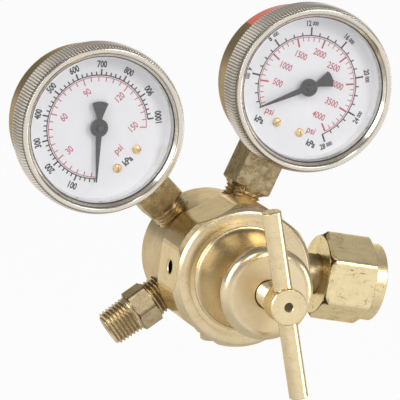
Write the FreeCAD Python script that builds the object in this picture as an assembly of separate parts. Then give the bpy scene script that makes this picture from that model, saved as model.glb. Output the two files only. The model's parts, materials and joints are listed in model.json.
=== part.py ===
import FreeCAD, Part
import math
import os

from FreeCAD import Placement, Rotation, Vector

# Two-gauge pressure regulator for a gas cylinder, in millimetres.
# It is laid out about the regulator's own axis, which is Y, with the tee handle at the front (-Y).
# The four ports are radial, at angles measured from +X towards +Z, and the inlet points along +X.
# When a piece is written it is moved so that the origin is the open end of the inlet nut's thread.

# Fits and edges
running_gap = 0.05
press_gap = 0.02
seat_gap = 0.05
corner_bevel = 0.5

# Body
body_r = 23.3
body_back_y = 12.1
joint_y = -14.5
body_edge = 0.8
spigot_r = body_r - 2.8
diaphragm_y = -24.0
low_chamber_r = spigot_r - 3.5
low_floor_y = -17.0
high_chamber_r = 6.5
high_floor_y = 7.0
nozzle_r = 7.95
nozzle_end_y = -9.0
passage_r = 1.5
low_passage_y = -2.0

# Ports, with the quarter-inch tapered pipe thread of the gauges and the outlet
port_thread_r = 6.95
port_taper = 1.0 / 32.0
port_floor = body_r - 10.1
port_reach = port_floor + 1.0
low_passage_radius = port_floor + 1.6
port_edge = 0.5
port_lead = 1.0
inlet_y = -6.0
delivery_angle = 143.3
contents_angle = 75.1
outlet_angle = 223.5
relief_angle = 282.5

# Spring case
flat_distance = body_r + 1.3
corner_r = flat_distance + 1.2
flats_turn = 3.6
flats_end_y = -33.5
rim_y = -37.1
cove_root = (18.0, -38.4)
cove_waist = (15.7, -49.5)
nose_shoulder = (16.4, -59.5)
nose_round = (15.9, -63.4)
nose_r = 13.3
nose_y = -64.7
spring_bore_r = 13.2
spring_bore_back_y = -28.5
plate_bore_r = low_chamber_r - 0.5
front_wall = 5.0
mouth_depth = 0.6
vent_r = 2.4
vent_y = -26.9

# Diaphragm stack
diaphragm_thick = 0.8
slip_ring_thick = 0.6
stack_r = spigot_r - 0.1
stack_inner_r = low_chamber_r + 0.2
convolution = (13.4, 16.2)
convolution_rise = 1.2

# Adjusting screw and tee bar
screw_r = 4.95
mouth_r = screw_r + 0.5
screw_pitch = 1.5
screw_tip_y = -57.5
head_r = 6.43
head_front_y = -85.2
head_back_y = -76.4
head_edge = 0.4
head_dimple_r = 1.5
head_dimple = 2.0
screw_point = 1.0
bar_r = 3.3
bar_half = 33.3
bar_y = -81.0
bar_turn = 110.5

# Springs
spring_wire_r = 1.3
spring_mean_r = spring_bore_r - 1.7 - spring_wire_r
spring_seat_r = spring_mean_r - spring_wire_r - 0.7
spring_turns = 5.5
spring_sides = 6
button_r = spring_bore_r - 0.8
button_y = -53.5
button_boss_r = 6.0
button_disc = 2.5
spring_pilot = 1.8
spring_pilot_draft = 0.5
plate_r = 12.6
plate_y = -28.3
poppet_wire_r = 0.5
poppet_spring_r = 3.6
poppet_turns = 4.0
small_sides = 5

# Valve
seat_r = 2.0
seat_bore_r = 2.2
seat_land_r = 4.0
seat_thick = 0.6
stem_r = 1.2
poppet_r = 4.6
poppet_back_y = -4.5
poppet_spigot_r = 2.6
poppet_spigot = 2.0
nozzle_flange_r = 9.0
nozzle_flange_y = -18.5
nozzle_slot_half = 1.0
nozzle_slot_depth = 0.8

# Inlet nipple and nut
nipple_r = 7.27
nipple_shoulder = body_r + 2.7
nipple_face = nipple_shoulder + 20.0
nipple_flange_r = nipple_r + 2.03
nipple_flange = (nipple_face - 4.9, nipple_face - 2.0)
nipple_edge = 0.4
nipple_bore_r = 1.6
filter_r = 2.6
filter_length = 5.0
filter_sink = 0.5
washer_bore_r = 4.5
washer_r = 8.9
washer_thick = 1.6
nut_flats = 28.58
nut_shoulder = nipple_flange[0] - 0.1
nut_inner = nut_shoulder - 3.0
nut_thread_start = nipple_face + 2.5
nut_mouth = nut_thread_start + 12.5
nut_hex_end = nut_mouth - 4.3
nut_collar_r = 14.2
nut_thread_r = 9.495
nut_relief_r = nipple_flange_r + 1.2
nut_chamfer = 0.5
nut_inner_bevel = 0.9
nut_outer_bevel = 0.35

# Outlet nipple
outlet_flats = 14.3
outlet_hex = (body_r + 4.1, body_r + 12.0)
outlet_end = outlet_hex[1] + 11.1
outlet_bore_r = 4.0

# Relief valve
relief_thread_r = 3.95
relief_start = body_r - 8.3
relief_seat = relief_start + 4.0
relief_flats = 12.0
relief_hex_end = body_r + 4.2
relief_cup_r = 4.9
relief_end = body_r + 7.1
relief_edge = 0.4
relief_bore_r = 3.0
relief_hole_r = 1.2
relief_plug = relief_end - 2.5
relief_plug_sink = 0.3
relief_plug_bore_r = 1.0
relief_poppet_thick = 1.6
relief_poppet_r = 2.9
relief_stem_r = 1.4
relief_stem = 2.5
relief_wire_r = 0.3
relief_spring_r = 2.3
relief_turns = 4.0

# Gauges: local frame with the centre at the origin, the dial facing -Y and the socket along -Z
socket_shoulder = body_r + 3.7
case_r = 27.3
stem_length = 15.8
gauge_distance = socket_shoulder + stem_length + case_r
case_wall = 1.2
case_back_y = 8.0
case_round = 2.5
flange_r = case_r + 1.9
flange_back_y = -12.5
case_front_y = -16.2
bezel_r = flange_r + 1.2
bezel_back_y = -10.0
bezel_wide_y = -17.4
bezel_front_y = -21.6
bezel_front_r = bezel_r - 1.2
bezel_round = (bezel_r - 0.6, -20.0)
bezel_edge = 0.3
bezel_flat = 1.8
bezel_step = 0.7
window_r = case_r - 0.3
lip_r = window_r - 0.8
lip_y = -19.4
window_thick = 1.8
window_edge = 0.3
spacer_r = case_r - 1.8
dial_y = -13.0
dial_thick = 0.5
dial_r = case_r - 1.4
dial_hole_r = 1.5
socket_square = 14.3
socket_bore_r = 2.0
block_half_x = 6.0
block_half_y = 5.0
block_top = -14.0
block_sink = 2.0

# Gauge movement
tube_r = 20.5
tube_half_y = 3.0
tube_half_r = 1.0
tube_wall = 0.35
tube_corner = 0.6
tube_start = 254.0
tube_end = -25.0
tip_wall = 0.6
tip_overlap = 4.0
tip_length = 7.0
lug_r = 1.2
lug_gap = 0.3
plate_thick = 0.8
back_plate_y = -5.0
front_plate_y = -9.5
movement_half = 8.0
movement_top = 5.5
movement_bottom = -18.5
movement_corner = 1.5
boss_r = 1.8
pillar_r = 1.0
pillar_places = ((-6.8, -14.6), (-6.2, 3.6), (6.2, 3.6))
gear_module = 0.3
pinion_teeth = 12
sector_full_teeth = 72
sector_first = -11
sector_last = 2
pressure_angle = 25.0
tooth_share = 0.9
tooth_root = 1.2
tooth_crest = 0.9
gear_y = -8.2
gear_thick = 1.0
arbor_r = 1.0
pivot_r = 0.6
pivot_reach = 0.1
pinion_face = 1.8
arbor_stand = 0.8
sector_neck_r = 2.0
sector_neck_spread = 20.0
sector_hub_r = 2.4
sector_rim_r = 8.6
sector_web_r = 4.4
sector_arm = 8.0
tail_length = 6.0
tail_turn = -22.5
tail_half_width = 1.0
tail_eye_r = 1.3
stud_r = 0.45
link_y = -6.9
link_thick = 0.6
link_reach = 12.9
link_turn = 22.3
link_half_width = 0.8
link_eye_r = 1.2
screw_places = ((-4.8, -16.0), (4.8, -16.0))
dial_screw_r = 0.8
dial_screw_head_r = 1.6
dial_screw_head = 0.9

# Pointer
pointer_y = -14.6
pointer_thick = 0.5
pointer_zero = 225.0
pointer_length = 19.7
pointer_tip_half = 0.25
pointer_root_half = 1.1
pointer_tail = 9.4
tail_root_half = 1.0
tail_end_half = 2.9
pointer_hub_r = 3.2
pointer_hub_wall = 0.3
pointer_cap_r = 0.9
pointer_cap_y = -16.9
pointer_cap_fall = 0.5


def spot(radius, angle, y=0.0):
    """The point at this radius and angle about the Y axis."""
    turn = math.radians(angle)
    return Vector(radius * math.cos(turn), y, radius * math.sin(turn))


def lathe(profile):
    """Revolve a closed profile of (radius, height) points about local Z.

    An item with two points is an arc through the first to the second.
    """
    edges = []
    here = Vector(profile[0][0], 0, profile[0][1])
    start = here
    for item in profile[1:]:
        if isinstance(item[0], tuple):
            middle = Vector(item[0][0], 0, item[0][1])
            there = Vector(item[1][0], 0, item[1][1])
            edges.append(Part.Arc(here, middle, there).toShape())
        else:
            there = Vector(item[0], 0, item[1])
            edges.append(Part.makeLine(here, there))
        here = there
    edges.append(Part.makeLine(here, start))
    face = Part.Face(Part.Wire(edges))
    return face.revolve(Vector(0, 0, 0), Vector(0, 0, 1), 360)


def on_y(shape):
    """Turn local Z onto +Y, so that heights in a profile are Y stations."""
    turned = shape.copy()
    turned.Placement = Placement(Vector(), Rotation(Vector(1, 0, 0), -90)).multiply(turned.Placement)
    return turned


def on_ray(shape, angle, y=0.0):
    """Turn local Z onto the radial direction at this angle, and local X onto +Y."""
    away = spot(1, angle)
    side = away.cross(Vector(0, 1, 0))
    turned = shape.copy()
    frame = Placement(Vector(0, y, 0), Rotation(Vector(0, 1, 0), side, away, "ZXY"))
    turned.Placement = frame.multiply(turned.Placement)
    return turned


def moved(shape, x=0.0, y=0.0, z=0.0):
    """A copy of the shape, shifted."""
    copy = shape.copy()
    copy.translate(Vector(x, y, z))
    return copy


def rod(radius, low, high):
    """A cylinder about local Z between two heights."""
    return Part.makeCylinder(radius, high - low, Vector(0, 0, low))


def pin_y(radius, front, back, x=0.0, z=0.0):
    """A cylinder along Y between two stations."""
    return Part.makeCylinder(radius, back - front, Vector(x, front, z), Vector(0, 1, 0))


def hexagon(flats, low, high, turn=0.0):
    """A hexagonal prism about local Z, with its first corner at this turn."""
    reach = flats / 2.0 / math.cos(math.radians(30))
    corners = []
    for index in range(7):
        angle = math.radians(turn + 60 * index)
        corners.append(Vector(reach * math.cos(angle), reach * math.sin(angle), low))
    return Part.Face(Part.makePolygon(corners)).extrude(Vector(0, 0, high - low))


def bevelled_hexagon(flats, low, high, bevel_low, bevel_high, turn=0.0):
    """A hexagonal prism whose corners are turned off at one or both ends."""
    corner = flats / 2.0 / math.cos(math.radians(30))
    inner = flats / 2.0
    profile = [(0, low)]
    if bevel_low:
        profile += [(inner, low), (corner, low + (corner - inner) * bevel_low)]
    else:
        profile += [(corner, low)]
    if bevel_high:
        profile += [(corner, high - (corner - inner) * bevel_high), (inner, high)]
    else:
        profile += [(corner, high)]
    profile += [(0, high)]
    return hexagon(flats, low, high, turn).common(lathe(profile))


def plate(outline, front, thick):
    """A plate in the XZ plane from (x, z) corners, with its front face at this Y."""
    corners = [Vector(x, front, z) for x, z in outline]
    corners.append(corners[0])
    return Part.Face(Part.makePolygon(corners)).extrude(Vector(0, thick, 0))


def corner_arc(start, knee, end):
    """The circular arc from start to end whose end tangents meet at the knee."""
    weight = (end - start).Length / 2.0 / (knee - start).Length
    middle = (start + knee * (2.0 * weight) + end) * (0.5 / (1.0 + weight))
    return Part.Arc(start, middle, end).toShape()


def coil(mean_r, wire_r, low, high, turns, sides):
    """A helix about local Z: a wire section of many sides, swept along pairs of tangent arcs."""
    steps = int(round(turns * 2))
    rise = (high - low) / steps
    swing = 2 * math.pi * turns / steps
    edges = []
    for index in range(steps):
        ends = []
        for place in (index, index + 1):
            angle = swing * place
            point = Vector(mean_r * math.cos(angle), mean_r * math.sin(angle), low + rise * place)
            heading = Vector(-mean_r * math.sin(angle), mean_r * math.cos(angle), rise / swing)
            ends.append((point, heading.normalize()))
        (first, leave), (last, arrive) = ends
        span = last - first
        bend = 2.0 * (1.0 - leave.dot(arrive))
        along = span.dot(leave + arrive)
        reach = (math.sqrt(along * along + bend * span.dot(span)) - along) / bend
        knee_a = first + leave * reach
        knee_b = last - arrive * reach
        middle = (knee_a + knee_b) * 0.5
        edges.append(corner_arc(first, knee_a, middle))
        edges.append(corner_arc(middle, knee_b, last))
    across = Vector(0, mean_r, rise / swing).normalize().cross(Vector(1, 0, 0))
    corner = wire_r * math.sqrt(2 * math.pi / (sides * math.sin(2 * math.pi / sides)))
    ring = []
    for index in range(sides + 1):
        angle = 2 * math.pi * (index % sides) / sides
        out = Vector(mean_r + corner * math.cos(angle), 0, low)
        ring.append(out + across * (corner * math.sin(angle)))
    return Part.Wire(edges).makePipeShell([Part.makePolygon(ring)], True, False)


def thread_radius(distance, shoulder):
    """The tapered thread's radius at a distance from the axis, for a thread that ends at the shoulder."""
    return port_thread_r - (shoulder - distance) * port_taper


def port_cutter(shoulder):
    """The tapered hole that takes a pipe thread whose shoulder is this far from the axis."""
    outside = body_r + port_lead
    return lathe([(0, port_floor), (thread_radius(port_floor, shoulder) + press_gap, port_floor),
                  (thread_radius(outside, shoulder) + press_gap, outside), (0, outside)])


def regulator_body():
    """The brass block: low chamber in front, high chamber behind, and the radial ports."""
    block = on_y(lathe([
        (0, low_floor_y), (low_chamber_r, low_floor_y), (low_chamber_r, diaphragm_y),
        (spigot_r, diaphragm_y), (spigot_r, joint_y), (body_r, joint_y),
        (body_r, body_back_y - body_edge), (body_r - body_edge, body_back_y), (0, body_back_y)]))
    block = block.cut(on_y(rod(nozzle_r + press_gap, low_floor_y - 1, nozzle_end_y)))
    block = block.cut(on_y(rod(high_chamber_r, nozzle_end_y - 1, high_floor_y)))
    for angle in (delivery_angle, contents_angle):
        block = block.cut(on_ray(port_cutter(socket_shoulder), angle))
    block = block.cut(on_ray(port_cutter(outlet_hex[0]), outlet_angle))
    block = block.cut(on_ray(port_cutter(nipple_shoulder), 0, inlet_y))
    block = block.cut(on_ray(rod(relief_thread_r + press_gap, relief_start - seat_gap, body_r + 1),
                             relief_angle))
    block = block.cut(on_ray(rod(passage_r, high_chamber_r - 1, port_floor + 1), contents_angle))
    block = block.cut(on_ray(rod(passage_r, high_chamber_r - 1, port_floor + 1), 0, inlet_y))
    for angle in (delivery_angle, outlet_angle):
        at = spot(low_passage_radius, angle)
        block = block.cut(pin_y(passage_r, low_floor_y - 1, low_passage_y, at.x, at.z))
    at = spot(low_passage_radius, relief_angle)
    block = block.cut(pin_y(passage_r, low_floor_y - 1, passage_r, at.x, at.z))
    return block


def spring_case():
    """The turned hexagonal case that screws over the body's spigot, with its coved nose."""
    shoulder_y = diaphragm_y - diaphragm_thick - slip_ring_thick
    inner_y = nose_y + front_wall
    hole_r = screw_r + running_gap
    shell = on_y(lathe([
        (spigot_r + running_gap, joint_y), (corner_r, joint_y), (corner_r, flats_end_y),
        (flat_distance, rim_y), cove_root, (cove_waist, nose_shoulder), (nose_round, (nose_r, nose_y)),
        (mouth_r, nose_y), (hole_r, nose_y + mouth_depth), (hole_r, inner_y),
        (spring_bore_r, inner_y), (spring_bore_r, spring_bore_back_y),
        (plate_bore_r, spring_bore_back_y), (plate_bore_r, shoulder_y),
        (spigot_r + running_gap, shoulder_y)]))
    wrench = hexagon(flat_distance * 2, nose_y - 1, joint_y, 30 - flats_turn)
    shell = shell.common(on_y(wrench))
    vent = on_ray(rod(vent_r, spring_bore_r - 1, corner_r + 1), 180 + flats_turn, vent_y)
    return shell.cut(vent)


def adjusting_screw():
    """The screw with its round head, cross hole and centre dimple."""
    screw = on_y(lathe([
        (0, head_front_y), (head_r - head_edge, head_front_y), (head_r, head_front_y + head_edge),
        (head_r, head_back_y - head_edge), (head_r - head_edge, head_back_y),
        (screw_r, head_back_y), (screw_r, screw_tip_y - screw_point), (screw_r - screw_point, screw_tip_y),
        (0, screw_tip_y)]))
    dimple = on_y(lathe([
        (0, head_front_y - 1), (head_dimple_r, head_front_y - 1), (head_dimple_r, head_front_y + head_dimple),
        (0, head_front_y + head_dimple + head_dimple_r)]))
    screw = screw.cut(dimple)
    cross = on_ray(rod(bar_r + press_gap, -head_r - 1, head_r + 1), bar_turn, bar_y)
    return screw.cut(cross)


def tee_bar():
    """The bar pressed through the screw's head."""
    edge = head_edge
    bar = lathe([(0, -bar_half), (bar_r - edge, -bar_half), (bar_r, -bar_half + edge),
                 (bar_r, bar_half - edge), (bar_r - edge, bar_half), (0, bar_half)])
    return on_ray(bar, bar_turn, bar_y)


def spring_button():
    """The upper seat of the pressure spring, pushed by the screw's tip."""
    disc_front = button_y - button_disc
    pilot = button_y + spring_pilot
    return on_y(lathe([
        (0, screw_tip_y), (button_boss_r, screw_tip_y), (button_boss_r, disc_front),
        (button_r, disc_front), (button_r, button_y), (spring_seat_r, button_y),
        (spring_seat_r - spring_pilot_draft, pilot), (0, pilot)]))


def pressure_spring():
    """The main spring between the button and the diaphragm plate."""
    low = button_y + spring_wire_r + seat_gap
    high = plate_y - spring_wire_r - seat_gap
    return on_y(coil(spring_mean_r, spring_wire_r, low, high, spring_turns, spring_sides))


def diaphragm_plate():
    """The stiff plate between the spring and the diaphragm."""
    back = diaphragm_y - diaphragm_thick - seat_gap
    pilot = plate_y - spring_pilot
    return on_y(lathe([
        (0, pilot), (spring_seat_r - spring_pilot_draft, pilot), (spring_seat_r, plate_y),
        (plate_r, plate_y), (plate_r, back), (0, back)]))


def diaphragm():
    """The rubber diaphragm with one rolled convolution."""
    back = diaphragm_y
    front = diaphragm_y - diaphragm_thick
    inner, outer = convolution
    third = (outer - inner) / 3.0
    return on_y(lathe([
        (0, front), (inner, front), (inner + third, front - convolution_rise),
        (outer - third, front - convolution_rise), (outer, front), (stack_r, front), (stack_r, back),
        (outer, back), (outer - third, back - convolution_rise),
        (inner + third, back - convolution_rise), (inner, back), (0, back)]))


def slip_ring():
    """The thin ring that lets the case turn on the diaphragm without dragging it."""
    back = diaphragm_y - diaphragm_thick
    front = back - slip_ring_thick
    return on_y(lathe([(stack_inner_r, front), (stack_r, front), (stack_r, back), (stack_inner_r, back)]))


def valve_nozzle():
    """The screwed cartridge that holds the seat, with a slot across its flange."""
    nozzle = on_y(lathe([
        (seat_r, nozzle_flange_y), (nozzle_flange_r, nozzle_flange_y), (nozzle_flange_r, low_floor_y),
        (nozzle_r, low_floor_y), (nozzle_r, nozzle_end_y), (seat_r, nozzle_end_y)]))
    reach = nozzle_flange_r + 1
    slot = Part.makeBox(2 * reach, nozzle_slot_depth + 1, 2 * nozzle_slot_half,
                        Vector(-reach, nozzle_flange_y - 1, -nozzle_slot_half))
    return nozzle.cut(slot)


def valve_seat():
    """The soft ring that the poppet closes on."""
    back = nozzle_end_y + seat_thick
    return on_y(lathe([(seat_bore_r, nozzle_end_y), (seat_land_r, nozzle_end_y), (seat_land_r, back),
                       (seat_bore_r, back)]))


def valve_poppet():
    """The poppet, whose stem reaches forward through the nozzle to the diaphragm."""
    front = nozzle_end_y + seat_thick + seat_gap
    spigot = poppet_back_y + poppet_spigot
    return on_y(lathe([
        (0, diaphragm_y + seat_gap), (stem_r, diaphragm_y + seat_gap), (stem_r, front),
        (poppet_r, front), (poppet_r, poppet_back_y), (poppet_spigot_r, poppet_back_y),
        (poppet_spigot_r, spigot), (0, spigot)]))


def poppet_spring():
    """The light spring that closes the poppet."""
    low = poppet_back_y + poppet_wire_r + seat_gap
    high = high_floor_y - poppet_wire_r - seat_gap
    return on_y(coil(poppet_spring_r, poppet_wire_r, low, high, poppet_turns, small_sides))


def inlet_nipple():
    """The long nipple: pipe thread into the body, round shank, and the flange that the nut draws up."""
    start = port_reach
    nipple = lathe([
        (nipple_bore_r, start), (thread_radius(start, nipple_shoulder), start),
        (port_thread_r, nipple_shoulder), (nipple_r, nipple_shoulder), (nipple_r, nipple_flange[0]),
        (nipple_flange_r, nipple_flange[0]), (nipple_flange_r, nipple_flange[1]),
        (nipple_r, nipple_face - nipple_edge), (nipple_r - nipple_edge, nipple_face),
        (filter_r + press_gap, nipple_face), (filter_r + press_gap, nipple_face - filter_length),
        (nipple_bore_r, nipple_face - filter_length)])
    return on_ray(nipple, 0, inlet_y)


def inlet_nut():
    """The hexagon nut, free to turn on the nipple, with a round collar at its mouth."""
    hexagon_part = bevelled_hexagon(nut_flats, nut_inner, nut_hex_end, nut_inner_bevel, nut_outer_bevel, 90)
    collar = rod(nut_collar_r, nut_thread_start, nut_mouth)
    bore = lathe([
        (0, nut_inner - 1), (nipple_r + running_gap, nut_inner - 1), (nipple_r + running_gap, nut_shoulder),
        (nut_relief_r, nut_shoulder), (nut_relief_r, nut_thread_start), (nut_thread_r, nut_thread_start),
        (nut_thread_r, nut_mouth - nut_chamfer), (nut_thread_r + nut_chamfer, nut_mouth),
        (nut_thread_r + nut_chamfer, nut_mouth + 1), (0, nut_mouth + 1)])
    return on_ray(hexagon_part.fuse(collar).cut(bore).removeSplitter(), 0, inlet_y)


def inlet_filter():
    """The sintered plug in the nipple's mouth."""
    low = nipple_face - filter_length
    return on_ray(rod(filter_r, low, nipple_face - filter_sink), 0, inlet_y)


def inlet_washer():
    """The flat washer between the nipple's face and the cylinder valve."""
    outer_face = nipple_face + washer_thick
    return on_ray(lathe([(washer_bore_r, nipple_face), (washer_r, nipple_face), (washer_r, outer_face),
                         (washer_bore_r, outer_face)]), 0, inlet_y)


def outlet_nipple():
    """The hexagon nipple with a pipe thread at each end."""
    low, high = outlet_hex
    tip_r = thread_radius(high - (outlet_end - high), high)
    sleeve = lathe([
        (outlet_bore_r, port_reach), (thread_radius(port_reach, low), port_reach), (port_thread_r, low),
        (port_thread_r, high), (tip_r, outlet_end - port_edge), (tip_r - port_edge, outlet_end),
        (outlet_bore_r + port_edge, outlet_end), (outlet_bore_r, outlet_end - port_edge)])
    collar = bevelled_hexagon(outlet_flats, low, high, corner_bevel, corner_bevel)
    collar = collar.cut(rod(port_thread_r - port_edge, low - 1, high + 1))
    return on_ray(sleeve.fuse(collar).removeSplitter(), outlet_angle)


def relief_body():
    """The small relief valve's body, screwed into the underside."""
    barrel = lathe([
        (relief_hole_r, relief_start), (relief_thread_r, relief_start), (relief_thread_r, body_r),
        (relief_cup_r, body_r), (relief_cup_r, relief_end - relief_edge),
        (relief_cup_r - relief_edge, relief_end),
        (relief_bore_r, relief_end), (relief_bore_r, relief_seat), (relief_hole_r, relief_seat)])
    nut = bevelled_hexagon(relief_flats, body_r + seat_gap, relief_hex_end, 0, corner_bevel)
    nut = nut.cut(rod(relief_thread_r, body_r - 1, relief_hex_end + 1))
    return on_ray(barrel.fuse(nut).removeSplitter(), relief_angle)


def relief_poppet():
    """The relief valve's poppet, with a stem that centres its spring."""
    low = relief_seat + seat_gap
    top = low + relief_poppet_thick
    return on_ray(lathe([
        (0, low), (relief_poppet_r, low), (relief_poppet_r, top), (relief_stem_r, top),
        (relief_stem_r, top + relief_stem), (0, top + relief_stem)]), relief_angle)


def relief_spring():
    """The relief valve's spring."""
    low = relief_seat + seat_gap + relief_poppet_thick + relief_wire_r + seat_gap
    high = relief_plug - relief_wire_r - seat_gap
    return on_ray(coil(relief_spring_r, relief_wire_r, low, high, relief_turns, small_sides), relief_angle)


def relief_plug_screw():
    """The drilled plug that sets the relief spring and lets the gas out."""
    outer_r = relief_bore_r - press_gap
    top = relief_end - relief_plug_sink
    return on_ray(lathe([(relief_plug_bore_r, relief_plug), (outer_r, relief_plug), (outer_r, top),
                         (relief_plug_bore_r, top)]), relief_angle)


def tube_section(grow=0.0):
    """The flattened section of the Bourdon tube, as a wire in the XY plane at its radius."""
    half_y = tube_half_y + grow
    half_r = tube_half_r + grow
    corner = half_r * tube_corner
    corners = []
    for x, y in ((half_r, half_y - corner), (half_r - corner, half_y),
                 (corner - half_r, half_y), (-half_r, half_y - corner)):
        corners.append(Vector(tube_r + x, y, 0))
    corners += [Vector(2 * tube_r - at.x, -at.y, 0) for at in corners]
    corners.append(corners[0])
    return Part.makePolygon(corners)


def swept_section(wire, start, end):
    """Revolve a section about Y from one angle to another, both measured from +X towards +Z."""
    face = Part.Face(wire)
    face.rotate(Vector(), Vector(0, 1, 0), -start)
    return face.revolve(Vector(), Vector(0, 1, 0), start - end)


def gauge_case():
    """The drawn cup, flanged at the front for the bezel and pierced for the socket."""
    inner_r = case_r - case_wall
    inner_y = case_back_y - case_wall
    bend = case_round * (1.0 - math.sqrt(0.5))
    inner_bend = case_round - case_wall
    cup = on_y(lathe([
        (0, inner_y), (inner_r - inner_bend, inner_y), (inner_r, inner_y - inner_bend),
        (inner_r, case_front_y), (flange_r, case_front_y), (flange_r, flange_back_y),
        (case_r, flange_back_y + case_wall), (case_r, case_back_y - case_round),
        ((case_r - bend, case_back_y - bend), (case_r - case_round, case_back_y)), (0, case_back_y)]))
    slot = Part.makeBox(2 * (block_half_x + press_gap), 2 * (block_half_y + press_gap), case_wall * 4,
                        Vector(-block_half_x - press_gap, -block_half_y - press_gap,
                               -case_r - case_wall))
    return cup.cut(slot)


def gauge_socket():
    """The square-shanked socket, its pipe thread, and the block inside that carries the tube."""
    shoulder = gauge_distance - socket_shoulder
    tip = gauge_distance - port_reach
    half = socket_square / 2.0
    corner = socket_square * math.sqrt(0.5)
    shank = Part.makeBox(socket_square, socket_square, shoulder - case_r + half,
                         Vector(-half, -half, -shoulder))
    shank = shank.cut(pin_y(case_r + seat_gap, -half - 1, half + 1))
    crown = lathe([(0, -shoulder), (half, -shoulder), (corner, -shoulder + (corner - half) * corner_bevel),
                   (corner, 0), (0, 0)])
    shank = shank.common(crown)
    thread = lathe([
        (0, -tip), (thread_radius(port_reach, socket_shoulder), -tip), (port_thread_r, -shoulder),
        (port_thread_r, port_lead - shoulder), (0, port_lead - shoulder)])
    block = Part.makeBox(2 * block_half_x, 2 * block_half_y, block_top + case_r + block_sink,
                         Vector(-block_half_x, -block_half_y, -case_r - block_sink))
    socket = shank.fuse(thread).fuse(block).removeSplitter()
    socket = socket.cut(rod(socket_bore_r, -tip - 1, -tube_r))
    return socket.cut(swept_section(tube_section(press_gap), tube_start + 1, 180))


def gauge_tube():
    """The Bourdon tube: a flat oval tube bent round the movement."""
    outer = swept_section(tube_section(), tube_start, tube_end)
    inner = swept_section(tube_section(-tube_wall), tube_start, tube_end)
    return outer.cut(inner)


def gauge_tube_tip():
    """The end piece brazed over the tube's end, with the lug that faces the link."""
    cap = swept_section(tube_section(tip_wall), tube_end + tip_overlap, tube_end - tip_length)
    cap = cap.cut(swept_section(tube_section(press_gap), tube_end + 2 * tip_overlap, tube_end))
    at = spot(tube_r, tube_end - tip_length / 2.0)
    lug = pin_y(lug_r, link_y + link_thick + lug_gap, -tube_half_y, at.x, at.z)
    return cap.fuse(lug).removeSplitter()


def gauge_bezel():
    """The ring that screws over the case flange and holds the window."""
    skirt_r = flange_r + press_gap
    inner_r = window_r + press_gap
    return on_y(lathe([
        (skirt_r, bezel_back_y), (bezel_r - bezel_edge, bezel_back_y), (bezel_r, bezel_back_y - bezel_edge),
        (bezel_r, bezel_wide_y), (bezel_round, (bezel_front_r, bezel_front_y)),
        (bezel_front_r - bezel_flat, bezel_front_y), (lip_r, lip_y - bezel_step), (lip_r, lip_y),
        (inner_r, lip_y), (inner_r, case_front_y), (skirt_r, case_front_y)]))


def gauge_window():
    """The clear window."""
    edge = window_edge
    back = lip_y + window_thick
    return on_y(lathe([
        (0, lip_y), (window_r - edge, lip_y), (window_r, lip_y + edge), (window_r, back), (0, back)]))


def gauge_spacer_ring():
    """The ring that spaces the window from the case and keeps the dial down."""
    outer_r = case_r - case_wall - running_gap
    step_r = window_r - running_gap
    return on_y(lathe([
        (spacer_r, lip_y + window_thick), (step_r, lip_y + window_thick), (step_r, case_front_y),
        (outer_r, case_front_y), (outer_r, dial_y), (spacer_r, dial_y)]))


def gauge_dial():
    """The dial plate, with holes for the arbor and its two screws."""
    dial = pin_y(dial_r, dial_y, dial_y + dial_thick)
    dial = dial.cut(pin_y(dial_hole_r, dial_y - 1, dial_y + 1))
    for x, z in screw_places:
        dial = dial.cut(pin_y(dial_screw_r + press_gap, dial_y - 1, dial_y + 1, x, z))
    return dial


def gauge_dial_screws():
    """The two round-headed screws that hold the dial to the movement."""
    screws = []
    end = front_plate_y - plate_thick
    edge = dial_screw_head / 2.0
    for x, z in screw_places:
        screw = lathe([
            (0, dial_y - dial_screw_head), (dial_screw_head_r - edge, dial_y - dial_screw_head),
            (dial_screw_head_r, dial_y - edge), (dial_screw_head_r, dial_y), (dial_screw_r, dial_y),
            (dial_screw_r, end), (0, end)])
        screws.append(moved(on_y(screw), x, 0, z))
    return Part.makeCompound(screws)


def movement_outline():
    """The outline that both movement plates share, with its corners cut."""
    half = movement_half
    low = movement_bottom
    high = movement_top
    cut = movement_corner
    return [(-half, low + cut), (cut - half, low), (half - cut, low), (half, low + cut),
            (half, high - cut), (half - cut, high), (cut - half, high), (-half, high - cut)]


def sector_centre():
    """The sector's pivot, below the pinion by the two pitch radii."""
    return -(pinion_teeth + sector_full_teeth) * gear_module / 2.0


def gauge_back_plate():
    """The movement's back plate, seated on the socket block."""
    sheet = plate(movement_outline(), back_plate_y - plate_thick, plate_thick)
    sheet = sheet.cut(pin_y(pivot_r + running_gap, back_plate_y - 2, back_plate_y + 1))
    return sheet.cut(pin_y(pivot_r + running_gap, back_plate_y - 2, back_plate_y + 1, 0, sector_centre()))


def gauge_front_plate():
    """The movement's front plate, with the two bosses that the dial is screwed to."""
    front = front_plate_y - plate_thick
    sheet = plate(movement_outline(), front, plate_thick)
    for x, z in screw_places:
        sheet = sheet.fuse(pin_y(boss_r, dial_y + dial_thick, front_plate_y, x, z))
    sheet = sheet.removeSplitter()
    for x, z in screw_places:
        sheet = sheet.cut(pin_y(dial_screw_r + press_gap, dial_y, front, x, z))
    sheet = sheet.cut(pin_y(arbor_r + running_gap, front - 1, front_plate_y + 1))
    return sheet.cut(pin_y(pivot_r + running_gap, front - 1, front_plate_y + 1, 0, sector_centre()))


def gauge_pillars():
    """The three pillars between the movement's plates."""
    pillars = []
    for x, z in pillar_places:
        pillars.append(pin_y(pillar_r, front_plate_y, back_plate_y - plate_thick, x, z))
    return Part.makeCompound(pillars)


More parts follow.
